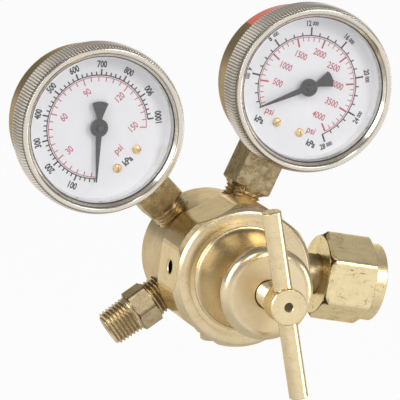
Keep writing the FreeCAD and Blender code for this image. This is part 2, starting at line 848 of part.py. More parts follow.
def tooth_points(teeth, middle_angle):
    """The outline of one involute tooth, as (radius, angle) pairs in order of angle."""
    pitch_r = teeth * gear_module / 2.0
    slope = math.radians(pressure_angle)
    base_r = pitch_r * math.cos(slope)
    half_pitch = math.pi / (2.0 * teeth) * tooth_share
    flank = []
    for depth in (-tooth_root, 0, tooth_crest / 2.0, tooth_crest):
        radius = pitch_r + depth * gear_module
        lean = math.acos(min(1.0, base_r / radius))
        half = half_pitch + (math.tan(slope) - slope) - (math.tan(lean) - lean)
        flank.append((radius, math.degrees(half)))
    rising = [(radius, middle_angle - half) for radius, half in flank]
    falling = [(radius, middle_angle + half) for radius, half in reversed(flank)]
    return rising + falling


def gear_plate(outline, front, thick, x=0.0, z=0.0):
    """A plate from (radius, angle) pairs about a centre."""
    points = []
    for radius, angle in outline:
        at = spot(radius, angle)
        points.append((x + at.x, z + at.z))
    return plate(points, front, thick)


def gauge_pinion():
    """The pinion cut on the arbor that carries the pointer."""
    outline = []
    for index in range(pinion_teeth):
        outline += tooth_points(pinion_teeth, -90.0 + 360.0 / pinion_teeth * (index + 0.5))
    wheel = gear_plate(outline, gear_y - (pinion_face - gear_thick) / 2.0, pinion_face)
    arbor = pin_y(arbor_r, pointer_y - pointer_thick - arbor_stand, gear_y)
    pivot = pin_y(pivot_r, gear_y, back_plate_y - pivot_reach)
    return wheel.fuse(arbor).fuse(pivot).removeSplitter()


def gauge_sector():
    """The toothed sector on its pivot, with the tail that the link pulls."""
    low = sector_centre()
    outline = []
    for index in range(sector_first, sector_last + 1):
        outline += tooth_points(sector_full_teeth, 90.0 + 360.0 / sector_full_teeth * index)
    outline.append((sector_neck_r, outline[-1][1] + sector_neck_spread))
    outline.append((sector_neck_r, outline[0][1] - sector_neck_spread))
    blade = gear_plate(outline, gear_y, gear_thick, 0, low)
    first = 90.0 + 360.0 / sector_full_teeth * sector_first + sector_arm
    last = 90.0 + 360.0 / sector_full_teeth * sector_last - sector_arm
    window = [(sector_rim_r, first), (sector_rim_r, (first + last) / 2), (sector_rim_r, last),
              (sector_web_r, last - sector_arm), (sector_web_r, first + sector_arm)]
    blade = blade.cut(gear_plate(window, gear_y - 1, gear_thick + 2, 0, low))
    blade = blade.fuse(pin_y(sector_hub_r, gear_y, gear_y + gear_thick, 0, low))
    end = spot(tail_length, tail_turn)
    side = spot(tail_half_width, tail_turn + 90)
    tail = plate([(side.x, low + side.z), (end.x + side.x, low + end.z + side.z),
                  (end.x - side.x, low + end.z - side.z), (-side.x, low - side.z)], gear_y, gear_thick)
    blade = blade.fuse(tail).fuse(pin_y(tail_eye_r, gear_y, gear_y + gear_thick, end.x, low + end.z))
    arbor_front = front_plate_y - plate_thick + pivot_reach
    blade = blade.fuse(pin_y(pivot_r, arbor_front, back_plate_y - pivot_reach, 0, low))
    stud = pin_y(stud_r, gear_y, link_y + link_thick + pivot_reach, end.x, low + end.z)
    return blade.fuse(stud).removeSplitter()


def gauge_link():
    """The link from the sector's tail towards the tube's end piece."""
    end = spot(tail_length, tail_turn)
    base = Vector(end.x, 0, sector_centre() + end.z)
    far = base + spot(link_reach, link_turn)
    side = spot(link_half_width, link_turn + 90)
    bar = plate([(base.x + side.x, base.z + side.z), (far.x + side.x, far.z + side.z),
                 (far.x - side.x, far.z - side.z), (base.x - side.x, base.z - side.z)], link_y, link_thick)
    for at in (base, far):
        bar = bar.fuse(pin_y(link_eye_r, link_y, link_y + link_thick, at.x, at.z))
    bar = bar.removeSplitter()
    return bar.cut(pin_y(stud_r + running_gap, link_y - 1, link_y + link_thick + 1, base.x, base.z))


def gauge_pointer():
    """The needle with its flared tail and round cap, standing at zero."""
    along = spot(1.0, pointer_zero)
    side = spot(1.0, pointer_zero + 90)
    outline = [(pointer_length, pointer_tip_half), (pointer_hub_r, pointer_root_half),
               (-pointer_hub_r, tail_root_half), (-pointer_tail, tail_end_half)]
    points = [(along.x * reach + side.x * half, along.z * reach + side.z * half) for reach, half in outline]
    points += [(along.x * reach - side.x * half, along.z * reach - side.z * half)
               for reach, half in reversed(outline)]
    needle = plate(points, pointer_y - pointer_thick, pointer_thick)
    cap = on_y(lathe([
        (0, pointer_cap_y), (pointer_cap_r, pointer_cap_y),
        (pointer_hub_r - pointer_cap_r, pointer_cap_y + pointer_cap_fall),
        (pointer_hub_r, pointer_y - pointer_thick - pointer_hub_wall), (pointer_hub_r, pointer_y),
        (0, pointer_y)]))
    needle = needle.fuse(cap).removeSplitter()
    socket_end = pointer_y - pointer_thick - arbor_stand - seat_gap
    return needle.cut(pin_y(arbor_r + press_gap, socket_end, pointer_y + 1))


def place_gauge(shape, angle):
    """Carry a gauge piece from the gauge's own frame to its port."""
    placed = shape.copy()
    turn = Rotation(Vector(0, 1, 0), 90 - angle)
    placed.Placement = Placement(spot(gauge_distance, angle), turn).multiply(placed.Placement)
    return placed


def build_parts():
    """Every piece by the name of its file."""
    parts = {
        "regulator_body": regulator_body(),
        "spring_case": spring_case(),
        "adjusting_screw": adjusting_screw(),
        "tee_bar": tee_bar(),
        "spring_button": spring_button(),
        "pressure_spring": pressure_spring(),
        "diaphragm_plate": diaphragm_plate(),
        "diaphragm": diaphragm(),
        "slip_ring": slip_ring(),
        "valve_nozzle": valve_nozzle(),
        "valve_seat": valve_seat(),
        "valve_poppet": valve_poppet(),
        "poppet_spring": poppet_spring(),
        "inlet_nipple": inlet_nipple(),
        "inlet_nut": inlet_nut(),
        "inlet_filter": inlet_filter(),
        "inlet_washer": inlet_washer(),
        "outlet_nipple": outlet_nipple(),
        "relief_body": relief_body(),
        "relief_poppet": relief_poppet(),
        "relief_spring": relief_spring(),
        "relief_plug": relief_plug_screw()}
    gauge_parts = {
        "case": gauge_case(),
        "socket": gauge_socket(),
        "tube": gauge_tube(),
        "tube_tip": gauge_tube_tip(),
        "bezel": gauge_bezel(),
        "window": gauge_window(),
        "spacer_ring": gauge_spacer_ring(),
        "dial": gauge_dial(),
        "dial_screws": gauge_dial_screws(),
        "back_plate": gauge_back_plate(),
        "front_plate": gauge_front_plate(),
        "pillars": gauge_pillars(),
        "pinion": gauge_pinion(),
        "sector": gauge_sector(),
        "link": gauge_link(),
        "pointer": gauge_pointer()}
    for gauge, angle in (("delivery", delivery_angle), ("contents", contents_angle)):
        for piece, shape in gauge_parts.items():
            parts[gauge + "_" + piece] = place_gauge(shape, angle)
    return parts


os.makedirs("parts", exist_ok=True)
for name, shape in build_parts().items():
    moved(shape, nut_chamfer - nut_mouth, -inlet_y, 0).exportStep("parts/" + name + ".step")
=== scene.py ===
"""Looks for the two-gauge brass pressure regulator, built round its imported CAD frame.

Sizes are in millimetres and are turned into metres where a mesh is made.
"""

import json
import logging
import math
from dataclasses import dataclass, field
from enum import Enum
from functools import reduce
from typing import Any, Callable, Optional, Sequence

import bpy
import numpy as np
from mathutils import Matrix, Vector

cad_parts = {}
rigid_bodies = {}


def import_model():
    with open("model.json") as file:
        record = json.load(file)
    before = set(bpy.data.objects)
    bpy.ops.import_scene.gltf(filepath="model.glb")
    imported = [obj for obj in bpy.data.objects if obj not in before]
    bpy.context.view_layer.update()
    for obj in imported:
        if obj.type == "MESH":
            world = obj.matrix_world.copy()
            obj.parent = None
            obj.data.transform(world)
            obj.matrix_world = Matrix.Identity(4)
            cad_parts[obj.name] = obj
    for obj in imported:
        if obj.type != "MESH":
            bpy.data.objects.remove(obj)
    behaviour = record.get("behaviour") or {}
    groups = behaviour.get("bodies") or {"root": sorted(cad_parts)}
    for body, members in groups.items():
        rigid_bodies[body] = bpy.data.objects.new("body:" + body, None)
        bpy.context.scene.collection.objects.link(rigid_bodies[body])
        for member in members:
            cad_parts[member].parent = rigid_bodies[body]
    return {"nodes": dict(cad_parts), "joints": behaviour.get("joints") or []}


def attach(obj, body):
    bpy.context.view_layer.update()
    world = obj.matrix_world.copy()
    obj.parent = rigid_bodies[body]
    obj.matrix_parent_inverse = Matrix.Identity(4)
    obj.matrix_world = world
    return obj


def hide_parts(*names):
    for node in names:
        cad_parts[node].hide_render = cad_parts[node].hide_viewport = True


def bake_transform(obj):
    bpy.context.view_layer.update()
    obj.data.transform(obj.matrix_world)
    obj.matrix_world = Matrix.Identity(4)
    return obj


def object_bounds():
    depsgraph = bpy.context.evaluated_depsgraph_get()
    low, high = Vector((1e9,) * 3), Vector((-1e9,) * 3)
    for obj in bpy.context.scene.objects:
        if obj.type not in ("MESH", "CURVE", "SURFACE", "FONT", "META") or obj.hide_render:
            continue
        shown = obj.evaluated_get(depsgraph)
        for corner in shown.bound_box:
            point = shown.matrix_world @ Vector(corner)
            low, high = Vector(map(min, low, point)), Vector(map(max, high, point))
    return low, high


for leftover in list(bpy.data.objects):
    bpy.data.objects.remove(leftover)
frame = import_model()
CAD_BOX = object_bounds()
NODES = frame["nodes"]
JOINTS = {joint["name"]: joint for joint in frame["joints"]}

log = logging.getLogger("regulator")

MM = 0.001
INCH = 25.4
TURN = 2.0 * math.pi
PIPE_PITCH = INCH / 18.0
PIPE_TAPER = 1.0 / 32.0
SMOOTH_LIMIT = math.radians(38.0)
RELIEF_ANGLE = 282.5
OUTLET_ANGLE = 223.5
ALONG_X, ALONG_Y, ALONG_Z = np.eye(3)

Array = np.ndarray
Colour = tuple[float, float, float]
Direction = tuple[float, float, float]
Corner = tuple[float, ...]
Shaping = Callable[[Array, Array, Array], tuple[Array, Array]]


def tint(red: float, green: float, blue: float) -> Colour:
    """A colour written as it shows on a screen, turned into the linear values that a shader takes."""
    return tuple(value / 12.92 if value <= 0.04045 else ((value + 0.055) / 1.055) ** 2.4
                 for value in (red, green, blue))


# Places and meshes.


@dataclass(frozen=True)
class Axes:
    """A place on the object: an origin in millimetres and three unit directions.

    Angles run from `side` towards `rise`, and stations run along `axis`.
    """

    origin: Array
    side: Array
    rise: Array
    axis: Array

    @property
    def mirrored(self) -> bool:
        """Whether the three directions are left-handed."""
        return float(np.dot(np.cross(self.side, self.rise), self.axis)) < 0.0

    def place(self, across: Array, up: Array, along: Array) -> Array:
        """Carry local coordinates to the row frame.

        Args:
            across: Distances along `side`.
            up: Distances along `rise`.
            along: Stations on the axis.

        Returns:
            Points in metres, with the coordinates in the last dimension.
        """
        local = (self.origin + across[..., None] * self.side + up[..., None] * self.rise
                 + along[..., None] * self.axis)
        return local * MM


@dataclass
class Shell:
    """Points in metres with the faces that join them."""

    points: Array
    faces: list[list[int]]
    depths: dict[str, Array] = field(default_factory=dict)

    def __add__(self, other: "Shell") -> "Shell":
        """Both shells as one.

        Args:
            other: The other shell.

        Returns:
            One shell with the points and faces of both, and without their depths.
        """
        shift = len(self.points)
        moved = [[index + shift for index in face] for face in other.faces]
        return Shell(np.vstack([self.points, other.points]), self.faces + moved)

    def named(self, name: str, soft: bool = True) -> bpy.types.Object:
        """Make the shell an object.

        Args:
            name: The piece's name.
            soft: Whether faces that meet gently are shaded as one curve.

        Returns:
            The new object, linked to the scene.
        """
        mesh = bpy.data.meshes.new(name)
        mesh.from_pydata(self.points.tolist(), [], self.faces)
        for label, values in self.depths.items():
            mesh.attributes.new(label, "FLOAT", "POINT").data.foreach_set("value", values.astype(np.float32))
        piece = bpy.data.objects.new(name, mesh)
        bpy.context.scene.collection.objects.link(piece)
        return softened(piece) if soft else piece


def softened(piece: bpy.types.Object) -> bpy.types.Object:
    """Shade a piece smooth, apart from its edges sharper than the limit.

    Args:
        piece: The piece.

    Returns:
        The same piece.
    """
    mesh = piece.data
    mesh.polygons.foreach_set("use_smooth", np.ones(len(mesh.polygons), bool))
    mesh.set_sharp_from_angle(angle=SMOOTH_LIMIT)
    mesh.update()
    return piece


def carved(piece: bpy.types.Object, cutter: bpy.types.Object) -> bpy.types.Object:
    """Cut one closed piece out of another, and remove the cutter.

    Args:
        piece: The piece that is cut.
        cutter: The piece that is taken away.

    Returns:
        The cut piece.
    """
    step = piece.modifiers.new("cut", "BOOLEAN")
    step.operation = "DIFFERENCE"
    step.solver = "EXACT"
    step.object = cutter
    shown = piece.evaluated_get(bpy.context.evaluated_depsgraph_get())
    mesh = bpy.data.meshes.new_from_object(shown)
    mesh.name = piece.name
    piece.modifiers.clear()
    piece.data = mesh
    bpy.data.objects.remove(cutter)
    return softened(piece)


def placing(side: Array, rise: Array, back: Array, spot: Array) -> Matrix:
    """Where a lamp or a camera stands.

    Args:
        side: The direction of its own X.
        rise: The direction of its own Y.
        back: The direction of its own Z, away from what it faces.
        spot: Its place, in metres.

    Returns:
        The matrix for it.
    """
    matrix = np.eye(4)
    matrix[:3, :3] = np.stack([side, rise, back], 1)
    matrix[:3, 3] = spot
    return Matrix(matrix.tolist())


# Profiles and turned shapes.

# A rounded corner: its straight steps, the most of a side that it may take, and how far beyond its
# ends the points lie that keep the sides flat, as a share of what is left of the side.
ARC_STEPS = 4
SIDE_SHARE = 0.45
SUPPORT_MOST = 0.12
SUPPORT_SHARE = 0.4
POINTS_TO_PITCH = 16


def rounded(corners: Sequence[Corner], closed: bool = True) -> Array:
    """A profile with its corners rounded.

    A corner (radius, station, round) is replaced by an arc that touches both its sides, found from
    the half angle between them. Points just beyond each end of the arc keep the sides flat.

    Args:
        corners: Points as (radius, station) or (radius, station, round), in order.
        closed: Whether the last corner joins the first.

    Returns:
        The points of the profile, one row each.
    """
    count = len(corners)
    spots = [np.array(corner[:2], float) for corner in corners]
    points: list[Array] = []
    for index, corner in enumerate(corners):
        here = spots[index]
        inner = closed or 0 < index < count - 1
        size = corner[2] if len(corner) > 2 else 0.0
        if not inner or size <= 0.0:
            points.append(here)
            continue
        back = spots[index - 1] - here
        ahead = spots[(index + 1) % count] - here
        room = SIDE_SHARE * min(np.linalg.norm(back), np.linalg.norm(ahead))
        back = back / np.linalg.norm(back)
        ahead = ahead / np.linalg.norm(ahead)
        half = 0.5 * math.acos(float(np.clip(back @ ahead, -1.0, 1.0)))
        reach = min(size / math.tan(half), room)
        middle = here + (back + ahead) / np.linalg.norm(back + ahead) * (reach / math.cos(half))
        swing = math.pi - 2.0 * half
        first, last = here + back * reach - middle, here + ahead * reach - middle
        share = np.linspace(0.0, 1.0, ARC_STEPS + 1)[:, None]
        swept = np.sin((1.0 - share) * swing) * first + np.sin(share * swing) * last
        beyond = reach + SUPPORT_SHARE * min(SUPPORT_MOST, room / SIDE_SHARE - reach)
        points += [here + back * beyond, *(middle + swept / math.sin(swing)), here + ahead * beyond]
    return np.array(points)


def arc_through(start: Corner, middle: Corner, end: Corner, steps: int) -> list[Corner]:
    """Points inside the circular arc from start to end through the middle point.

    The centre is where the bisectors of the two chords cross, and the points are evenly turned about it.

    Args:
        start: The first point of the arc.
        middle: A point on the way.
        end: The last point of the arc.
        steps: Steps from the first point to the last.

    Returns:
        The points between the first and the last.
    """
    a, b, c = (complex(*point) for point in (start, middle, end))
    ratio = (c - a) / (b - a)
    centre = a + (b - a) * (ratio - abs(ratio) ** 2) / (2j * ratio.imag)
    swing = np.angle((c - centre) / (a - centre))
    turns = [(a - centre) * np.exp(1j * swing * step / steps) + centre for step in range(1, steps)]
    return [(float(point.real), float(point.imag)) for point in turns]


def spaced(profile: Array, low: float, high: float, step: float) -> Array:
    """A profile with extra points, so that between two stations none lie further apart than a step.

    Args:
        profile: Rows of (radius, station).
        low: The lower station.
        high: The higher station.
        step: The step.

    Returns:
        The profile with its extra points.
    """
    points = [profile[0]]
    for here, there in zip(profile[:-1], profile[1:]):
        inside = low - step < (here[1] + there[1]) / 2.0 < high + step
        parts = max(1, math.ceil(np.linalg.norm(there - here) / step)) if inside else 1
        share = np.linspace(0.0, 1.0, parts + 1)[1:, None]
        points += list(here + (there - here) * share)
    return np.array(points)


def twice_area(outline: Array) -> float:
    """Twice the area inside a loop of points, negative where the loop runs clockwise."""
    after = np.roll(outline, -1, axis=0)
    return float(np.sum(outline[:, 0] * after[:, 1] - after[:, 0] * outline[:, 1]))


def inside_out(axes: Axes, outline: Array, low: float, high: float) -> bool:
    """Whether an outline raised from one station to another has its faces inwards."""
    return ((twice_area(outline) < 0.0) != axes.mirrored) != (high < low)


def turned(axes: Axes, profile: Array, closed: bool = True, count: int = 128, start: float = 0.0,
           shape: Optional[Shaping] = None, threads: Sequence[Shaping] = ()) -> Shell:
    """A surface of revolution: each point of the profile carried round the axis.

    A point (r, s) goes to origin + r cos(t) side + r sin(t) rise + s axis. The shaping function may
    change r and s from the angle t first, and then each thread does. What they take off a point is kept
    as its depths "cut" and "groove". An open profile ends in a pole on the axis at each end.

    Args:
        axes: Where the shape stands.
        profile: Rows of (radius, station).
        closed: Whether the profile is a loop.
        count: Steps round the axis.
        start: The angle of the first step, in radians.
        shape: Takes angles, radii and stations as a grid, and returns new radii and stations.
        threads: Threads cut after the shape, as such functions.

    Returns:
        The closed shell, with its faces outwards.
    """
    angles = start + np.arange(count) * (TURN / count)
    rows = profile if closed else profile[1:-1]
    radius = np.repeat(rows[:, :1], count, axis=1)
    station = np.repeat(rows[:, 1:], count, axis=1)
    grid = np.broadcast_to(angles, radius.shape)
    depths: dict[str, Array] = {}
    for label, steps in (("cut", [shape] if shape is not None else []), ("groove", list(threads))):
        whole = radius
        for step in steps:
            radius, station = step(grid, radius, station)
        if steps:
            depths[label] = np.append(np.abs(whole - radius).ravel(), [] if closed else [0.0, 0.0])
    points = axes.place(radius * np.cos(angles), radius * np.sin(angles), station).reshape(-1, 3)
    size = len(rows)
    row = np.arange(size if closed else size - 1)[:, None]
    column = np.arange(count)[None, :]
    nearer, further = row * count, ((row + 1) % size) * count
    after = (column + 1) % count
    quads = np.stack([nearer + column, nearer + after, further + after, further + column], -1).reshape(-1, 4)
    loop = profile if closed else np.vstack([profile, [[0.0, profile[0, 1]]]])
    flip = (twice_area(loop) < 0.0) != axes.mirrored
    faces = (quads[:, ::-1] if flip else quads).tolist()
    if not closed:
        ends = axes.place(np.zeros(2), np.zeros(2), profile[[0, -1], 1])
        low, high = len(points), len(points) + 1
        points = np.vstack([points, ends])
        ring = np.arange(count)
        following = (ring + 1) % count
        last = (size - 1) * count
        bottom = np.stack([np.full(count, low), following, ring], -1)
        top = np.stack([np.full(count, high), last + ring, last + following], -1)
        fans = np.vstack([bottom, top])
        faces += (fans[:, ::-1] if flip else fans).tolist()
    return Shell(points, faces, depths)


def soft_least(first: Array, second: Array, blend: float) -> Array:
    """The lesser of two lengths, rounded where they cross.

    It is the least of the two minus blend times log(1 + e^(-gap / blend)).

    Args:
        first: The one length.
        second: The other length.
        blend: The gap over which they blend.

    Returns:
        The lesser length.
    """
    gap = np.abs(first - second) / blend
    return np.minimum(first, second) - blend * np.log1p(np.exp(-gap))


@dataclass(frozen=True)
class Flats:
    """Flat sides cut on a turned shape.

    A side at distance d whose normal is at angle a leaves the radius d / cos(t - a). The last part of
    each side, next to its corners, falls away by `crown`. Radii under the share `core` of the distance
    are left alone, so that a bore stays round.
    """

    distance: float
    sides: int
    normal: float
    low: float
    high: float
    blend: float = 0.08
    crown: float = 0.0
    crown_start: float = 0.65
    crown_power: float = 1.2
    core: float = 0.6

    def __call__(self, angle: Array, radius: Array, station: Array) -> tuple[Array, Array]:
        """Cut the radii of a grid back to the flats, between the two stations.

        Args:
            angle: The grid's angles, in radians.
            radius: Its radii.
            station: Its stations.

        Returns:
            The new radii, and the stations as they were.
        """
        step = TURN / self.sides
        away = (angle - self.normal + step / 2.0) % step - step / 2.0
        fall = np.clip((np.abs(away) / (step / 2.0) - self.crown_start) / (1.0 - self.crown_start), 0.0, 1.0)
        plane = self.distance / np.cos(away) - self.crown * fall ** self.crown_power
        inside = (station > self.low) & (station < self.high) & (
            radius > self.core * self.distance)
        return np.where(inside, soft_least(radius, plane, self.blend), radius), station


@dataclass(frozen=True)
class Thread:
    """A screw thread cut into a turned shape.

    The groove's depth follows a triangle wave of station / pitch - angle / turn, which is made steeper
    by `slope` and cut flat at its top and bottom, and fades over half a pitch at each end.
    """

    low: float
    high: float
    pitch: float = PIPE_PITCH
    depth: float = 0.85
    inside: bool = False
    floor: float = 0.0
    roof: float = math.inf
    slope: float = 1.22
    flat: float = 0.11

    def __call__(self, angle: Array, radius: Array, station: Array) -> tuple[Array, Array]:
        """Cut the groove into the radii of a grid.

        Args:
            angle: The grid's angles, in radians.
            radius: Its radii.
            station: Its stations.

        Returns:
            The new radii, and the stations as they were.
        """
        phase = station / self.pitch - angle / TURN
        wave = 2.0 * np.abs((phase % 1.0) - 0.5)
        groove = np.clip(self.slope * wave - self.flat, 0.0, 1.0)
        fade = np.clip(2.0 * (station - self.low) / self.pitch, 0.0, 1.0)
        fade = fade * np.clip(2.0 * (self.high - station) / self.pitch, 0.0, 1.0)
        within = (radius > self.floor) & (radius < self.roof)
        cut = np.where(within, self.depth * groove * fade, 0.0)
        return (radius + cut if self.inside else radius - cut), station

    def spread(self, profile: Array) -> Array:
        """The profile with enough points to each pitch of the thread."""
        return spaced(profile, self.low, self.high, self.pitch / POINTS_TO_PITCH)


def slab(axes: Axes, outline: Array, low: float, high: float) -> Shell:
    """A flat plate: an outline raised from one station to another.

    Args:
        axes: Where the plate stands.
        outline: Rows of (across, up).
        low: The station of its foot.
        high: The station of its top.

    Returns:
        The closed shell.
    """
    count = len(outline)
    across, up = np.tile(outline[:, 0], 2), np.tile(outline[:, 1], 2)
    along = np.repeat([low, high], count)
    ring = np.arange(count)
    after = (ring + 1) % count
    walls = np.stack([ring, after, count + after, count + ring], -1)
    faces = [list(range(count))[::-1], list(range(count, 2 * count)), *walls.tolist()]
    if inside_out(axes, outline, low, high):
        faces = [face[::-1] for face in faces]
    return Shell(axes.place(across, up, along), faces)


def bars(axes: Axes, places: Array, low: float, high: float) -> Shell:
    """Many thin four-sided bars on a face, such as the marks of a scale.

    Args:
        axes: The face's axes.
        places: Rows of four (across, up) corners each, as an array of shape (bars, 4, 2).
        low: The station of the bars' feet.
        high: The station of their tops.

    Returns:
        One shell with all the bars.
    """
    count = len(places)
    corners = np.concatenate([places, places], axis=1)
    along = np.broadcast_to(np.repeat([low, high], 4), (count, 8))
    points = axes.place(corners[..., 0], corners[..., 1], along).reshape(-1, 3)
    faces = np.array([[3, 2, 1, 0], [4, 5, 6, 7], [0, 1, 5, 4], [1, 2, 6, 5], [2, 3, 7, 6], [3, 0, 4, 7]])
    if inside_out(axes, places[0], low, high):
        faces = faces[:, ::-1]
    every = faces[None] + (np.arange(count) * 8)[:, None, None]
    return Shell(points, every.reshape(-1, 4).tolist())


# Shader wiring.


class Wire:
    """A value in a node tree, used with ordinary operators."""

    def __init__(self, nodes: "Wiring", socket: Optional[bpy.types.NodeSocket]) -> None:
        """Wrap an output socket of a tree."""
        self.nodes = nodes
        self.socket = socket

    def maths(self, operation: str, *values: Any) -> "Wire":
        """A Math node on these values, in order."""
        return self.nodes.add("ShaderNodeMath", {"operation": operation}, dict(enumerate(values)))

    def __add__(self, other: Any) -> "Wire":
        """The sum."""
        return self.maths("ADD", self, other)

    def __radd__(self, other: Any) -> "Wire":
        """The sum, with the number first."""
        return self.maths("ADD", other, self)

    def __sub__(self, other: Any) -> "Wire":
        """The difference."""
        return self.maths("SUBTRACT", self, other)

    def __rsub__(self, other: Any) -> "Wire":
        """The difference, with the number first."""
        return self.maths("SUBTRACT", other, self)

    def __mul__(self, other: Any) -> "Wire":
        """The product."""
        return self.maths("MULTIPLY", self, other)

    def __rmul__(self, other: Any) -> "Wire":
        """The product, with the number first."""
        return self.maths("MULTIPLY", other, self)

    def __pow__(self, other: float) -> "Wire":
        """The power."""
        return self.maths("POWER", self, other)

    def __abs__(self) -> "Wire":
        """The size without its sign."""
        return self.maths("ABSOLUTE", self)

    def most(self, other: Any) -> "Wire":
        """The greater of two values."""
        return self.maths("MAXIMUM", self, other)

    def between(self, low: float, high: float) -> "Wire":
        """A smooth step from 0 at the low value to 1 at the high one."""
        return self.nodes.add("ShaderNodeMapRange", {"interpolation_type": "SMOOTHSTEP"},
                              dict(enumerate((self, low, high, 0.0, 1.0))))


Facing = Callable[[Direction], Wire]
Spot = tuple[Wire, Wire, Facing]


class Wiring:
    """A node tree that is being filled. All of its nodes come from `add`."""

    def __init__(self, tree: bpy.types.NodeTree) -> None:
        """Start with an empty tree."""
        self.tree = tree
        tree.nodes.clear()

    def connect(self, slot: bpy.types.NodeSocket, value: Any) -> None:
        """Link a wire to an input socket, or set the socket to a plain value.

        Args:
            slot: The input socket.
            value: A wire, a number, or a vector or colour.
        """
        if isinstance(value, Wire):
            self.tree.links.new(value.socket, slot)
        elif slot.type == "RGBA" and len(value) == 3:
            slot.default_value = (*value, 1.0)
        else:
            slot.default_value = value

    def add(self, kind: str, settings: Optional[dict[str, Any]] = None,
            sockets: Optional[dict[Any, Any]] = None, out: Any = 0) -> Wire:
        """Add a node.

        Args:
            kind: The node's type.
            settings: Properties to set first, with a grey ramp's (place, level) pairs as "stops".
            sockets: Input sockets, by name or number, with their values or wires.
            out: The output socket wanted, by name or number.

        Returns:
            The output as a wire. It holds no socket where the node has no output.
        """
        node = self.tree.nodes.new(kind)
        for name, value in (settings or {}).items():
            if name == "stops":
                set_stops(node.color_ramp, value)
            else:
                setattr(node, name, value)
        for name, value in (sockets or {}).items():
            self.connect(node.inputs[name], value)
        return Wire(self, node.outputs[out] if node.outputs else None)

    def vector(self, operation: str, first: Any, second: Any, out: int = 0) -> Wire:
        """A Vector Math node on two vectors."""
        return self.add("ShaderNodeVectorMath", {"operation": operation}, {0: first, 1: second}, out)

    def length(self, vector: Wire) -> Wire:
        """The length of a vector."""
        return self.add("ShaderNodeVectorMath", {"operation": "LENGTH"}, {0: vector}, 1)

    def ray(self, kind: str) -> Wire:
        """Whether the light path is of this kind, as Light Path names it."""
        return self.add("ShaderNodeLightPath", out=kind)


def set_stops(ramp: bpy.types.ColorRamp, stops: Sequence[tuple[float, float]]) -> None:
    """Give a ramp its stops.

    Args:
        ramp: The ramp, with two stops.
        stops: Pairs of (place, grey level), two or more.
    """
    while len(ramp.elements) < len(stops):
        ramp.elements.new(0.5)
    for element, (place, level) in zip(ramp.elements, stops):
        element.position = place
        element.color = (level, level, level, 1.0)


class Coat(Wiring):
    """One material under construction: a shader and the nodes that feed it."""

    def __init__(self, name: str) -> None:
        """Start an empty material.

        Args:
            name: The material's name.
        """
        self.material = bpy.data.materials.new(name)
        self.material.use_nodes = True
        super().__init__(self.material.node_tree)

    def where(self) -> Wire:
        """The point on the surface, in metres in the row frame."""
        return self.add("ShaderNodeTexCoord", out="Object")

    def noise(self, place: Any, scale: float, detail: float = 2.0, rough: float = 0.5) -> Wire:
        """Smooth noise from 0 to 1 about a half, with so many waves to a metre."""
        return self.add("ShaderNodeTexNoise", None,
                        {"Vector": place, "Scale": scale, "Detail": detail, "Roughness": rough})

    def stretched(self, place: Any, scale: Direction, turn: Direction = (0.0, 0.0, 0.0)) -> Wire:
        """Coordinates turned and then scaled, for noise that runs one way."""
        return self.add("ShaderNodeMapping", {"vector_type": "POINT"},
                        {"Vector": place, "Rotation": turn, "Scale": scale})

    def depth(self, label: str) -> Wire:
        """How much was taken off the surface here, in millimetres, from the mesh's attribute."""
        return self.add("ShaderNodeAttribute", {"attribute_type": "GEOMETRY", "attribute_name": label},
                        out=2)

    def blend(self, share: Any, first: Any, second: Any) -> Wire:
        """A mix of two colours."""
        return self.add("ShaderNodeMix", {"data_type": "RGBA"}, {0: share, 6: first, 7: second}, 2)

    def bump(self, height: Wire, distance: float) -> Wire:
        """A bump of this height, in millimetres for a value of 1."""
        return self.add("ShaderNodeBump", None,
                        {"Height": height, "Distance": distance * MM, "Strength": 1.0})

    def around(self, place: Wire, axes: Axes) -> Spot:
        """Where a point lies about an axis.

        The station is the part of the way from the origin along the axis, and what is left of it after
        that part is the way out from the axis.

        Args:
            place: The point.
            axes: The axis.

        Returns:
            The distance from the axis, the station along it, and a function that gives how far the point
            lies to one side, from -1 to 1.
        """
        away = self.vector("SUBTRACT", place, tuple(axes.origin * MM))
        station = self.vector("DOT_PRODUCT", away, tuple(axes.axis), 1)
        foot = self.add("ShaderNodeVectorMath", {"operation": "SCALE"},
                        {0: tuple(axes.axis), "Scale": station})
        out = self.vector("SUBTRACT", away, foot)

        def facing(side: Direction) -> Wire:
            """The cosine between the way out and a unit direction."""
            outward = self.add("ShaderNodeVectorMath", {"operation": "NORMALIZE"}, {0: out})
            return self.vector("DOT_PRODUCT", outward, side, 1)

        return self.length(out), station, facing

    def close(self, shader: Wire) -> bpy.types.Material:
        """End the tree with this shader, and give the material."""
        self.add("ShaderNodeOutputMaterial", None, {"Surface": shader})
        return self.material

    def finish(self, sockets: dict[str, Any]) -> bpy.types.Material:
        """End the tree with a Principled shader that takes these sockets."""
        return self.close(self.add("ShaderNodeBsdfPrincipled", None, sockets))


class Marks(Enum):
    """How a metal surface was worked."""

    TURNED = "turned"
    GROUND = "ground"
    DRAWN = "drawn"


@dataclass(frozen=True)
class Zone:
    """A turned band of a surface, between radii and stations in millimetres, given its own colour; some bands
    are painted shade or light.
    """

    inner: float
    outer: float
    low: float
    high: float
    colour: Colour
    share: float
    rougher: float = 0.0
    fade: float = 0.25
    side: Optional[Direction] = None

    def mask(self, radius: Wire, station: Wire, facing: Facing) -> Wire:
        """1 inside the zone and 0 outside it, with soft edges.

        Args:
            radius: The distance from the axis.
            station: The place along the axis.
            facing: Gives how far a point lies to one side, from -1 to 1.

        Returns:
            The mask.
        """
        soft = self.fade * MM
        across = radius.between(self.inner * MM - soft, self.inner * MM) * (
            1.0 - radius.between(self.outer * MM - soft, self.outer * MM))
        along = station.between(self.low * MM, self.low * MM + soft) * (
            1.0 - station.between(self.high * MM - soft, self.high * MM))
        return across * along if self.side is None else across * along * facing(self.side).between(-0.2, 0.8)
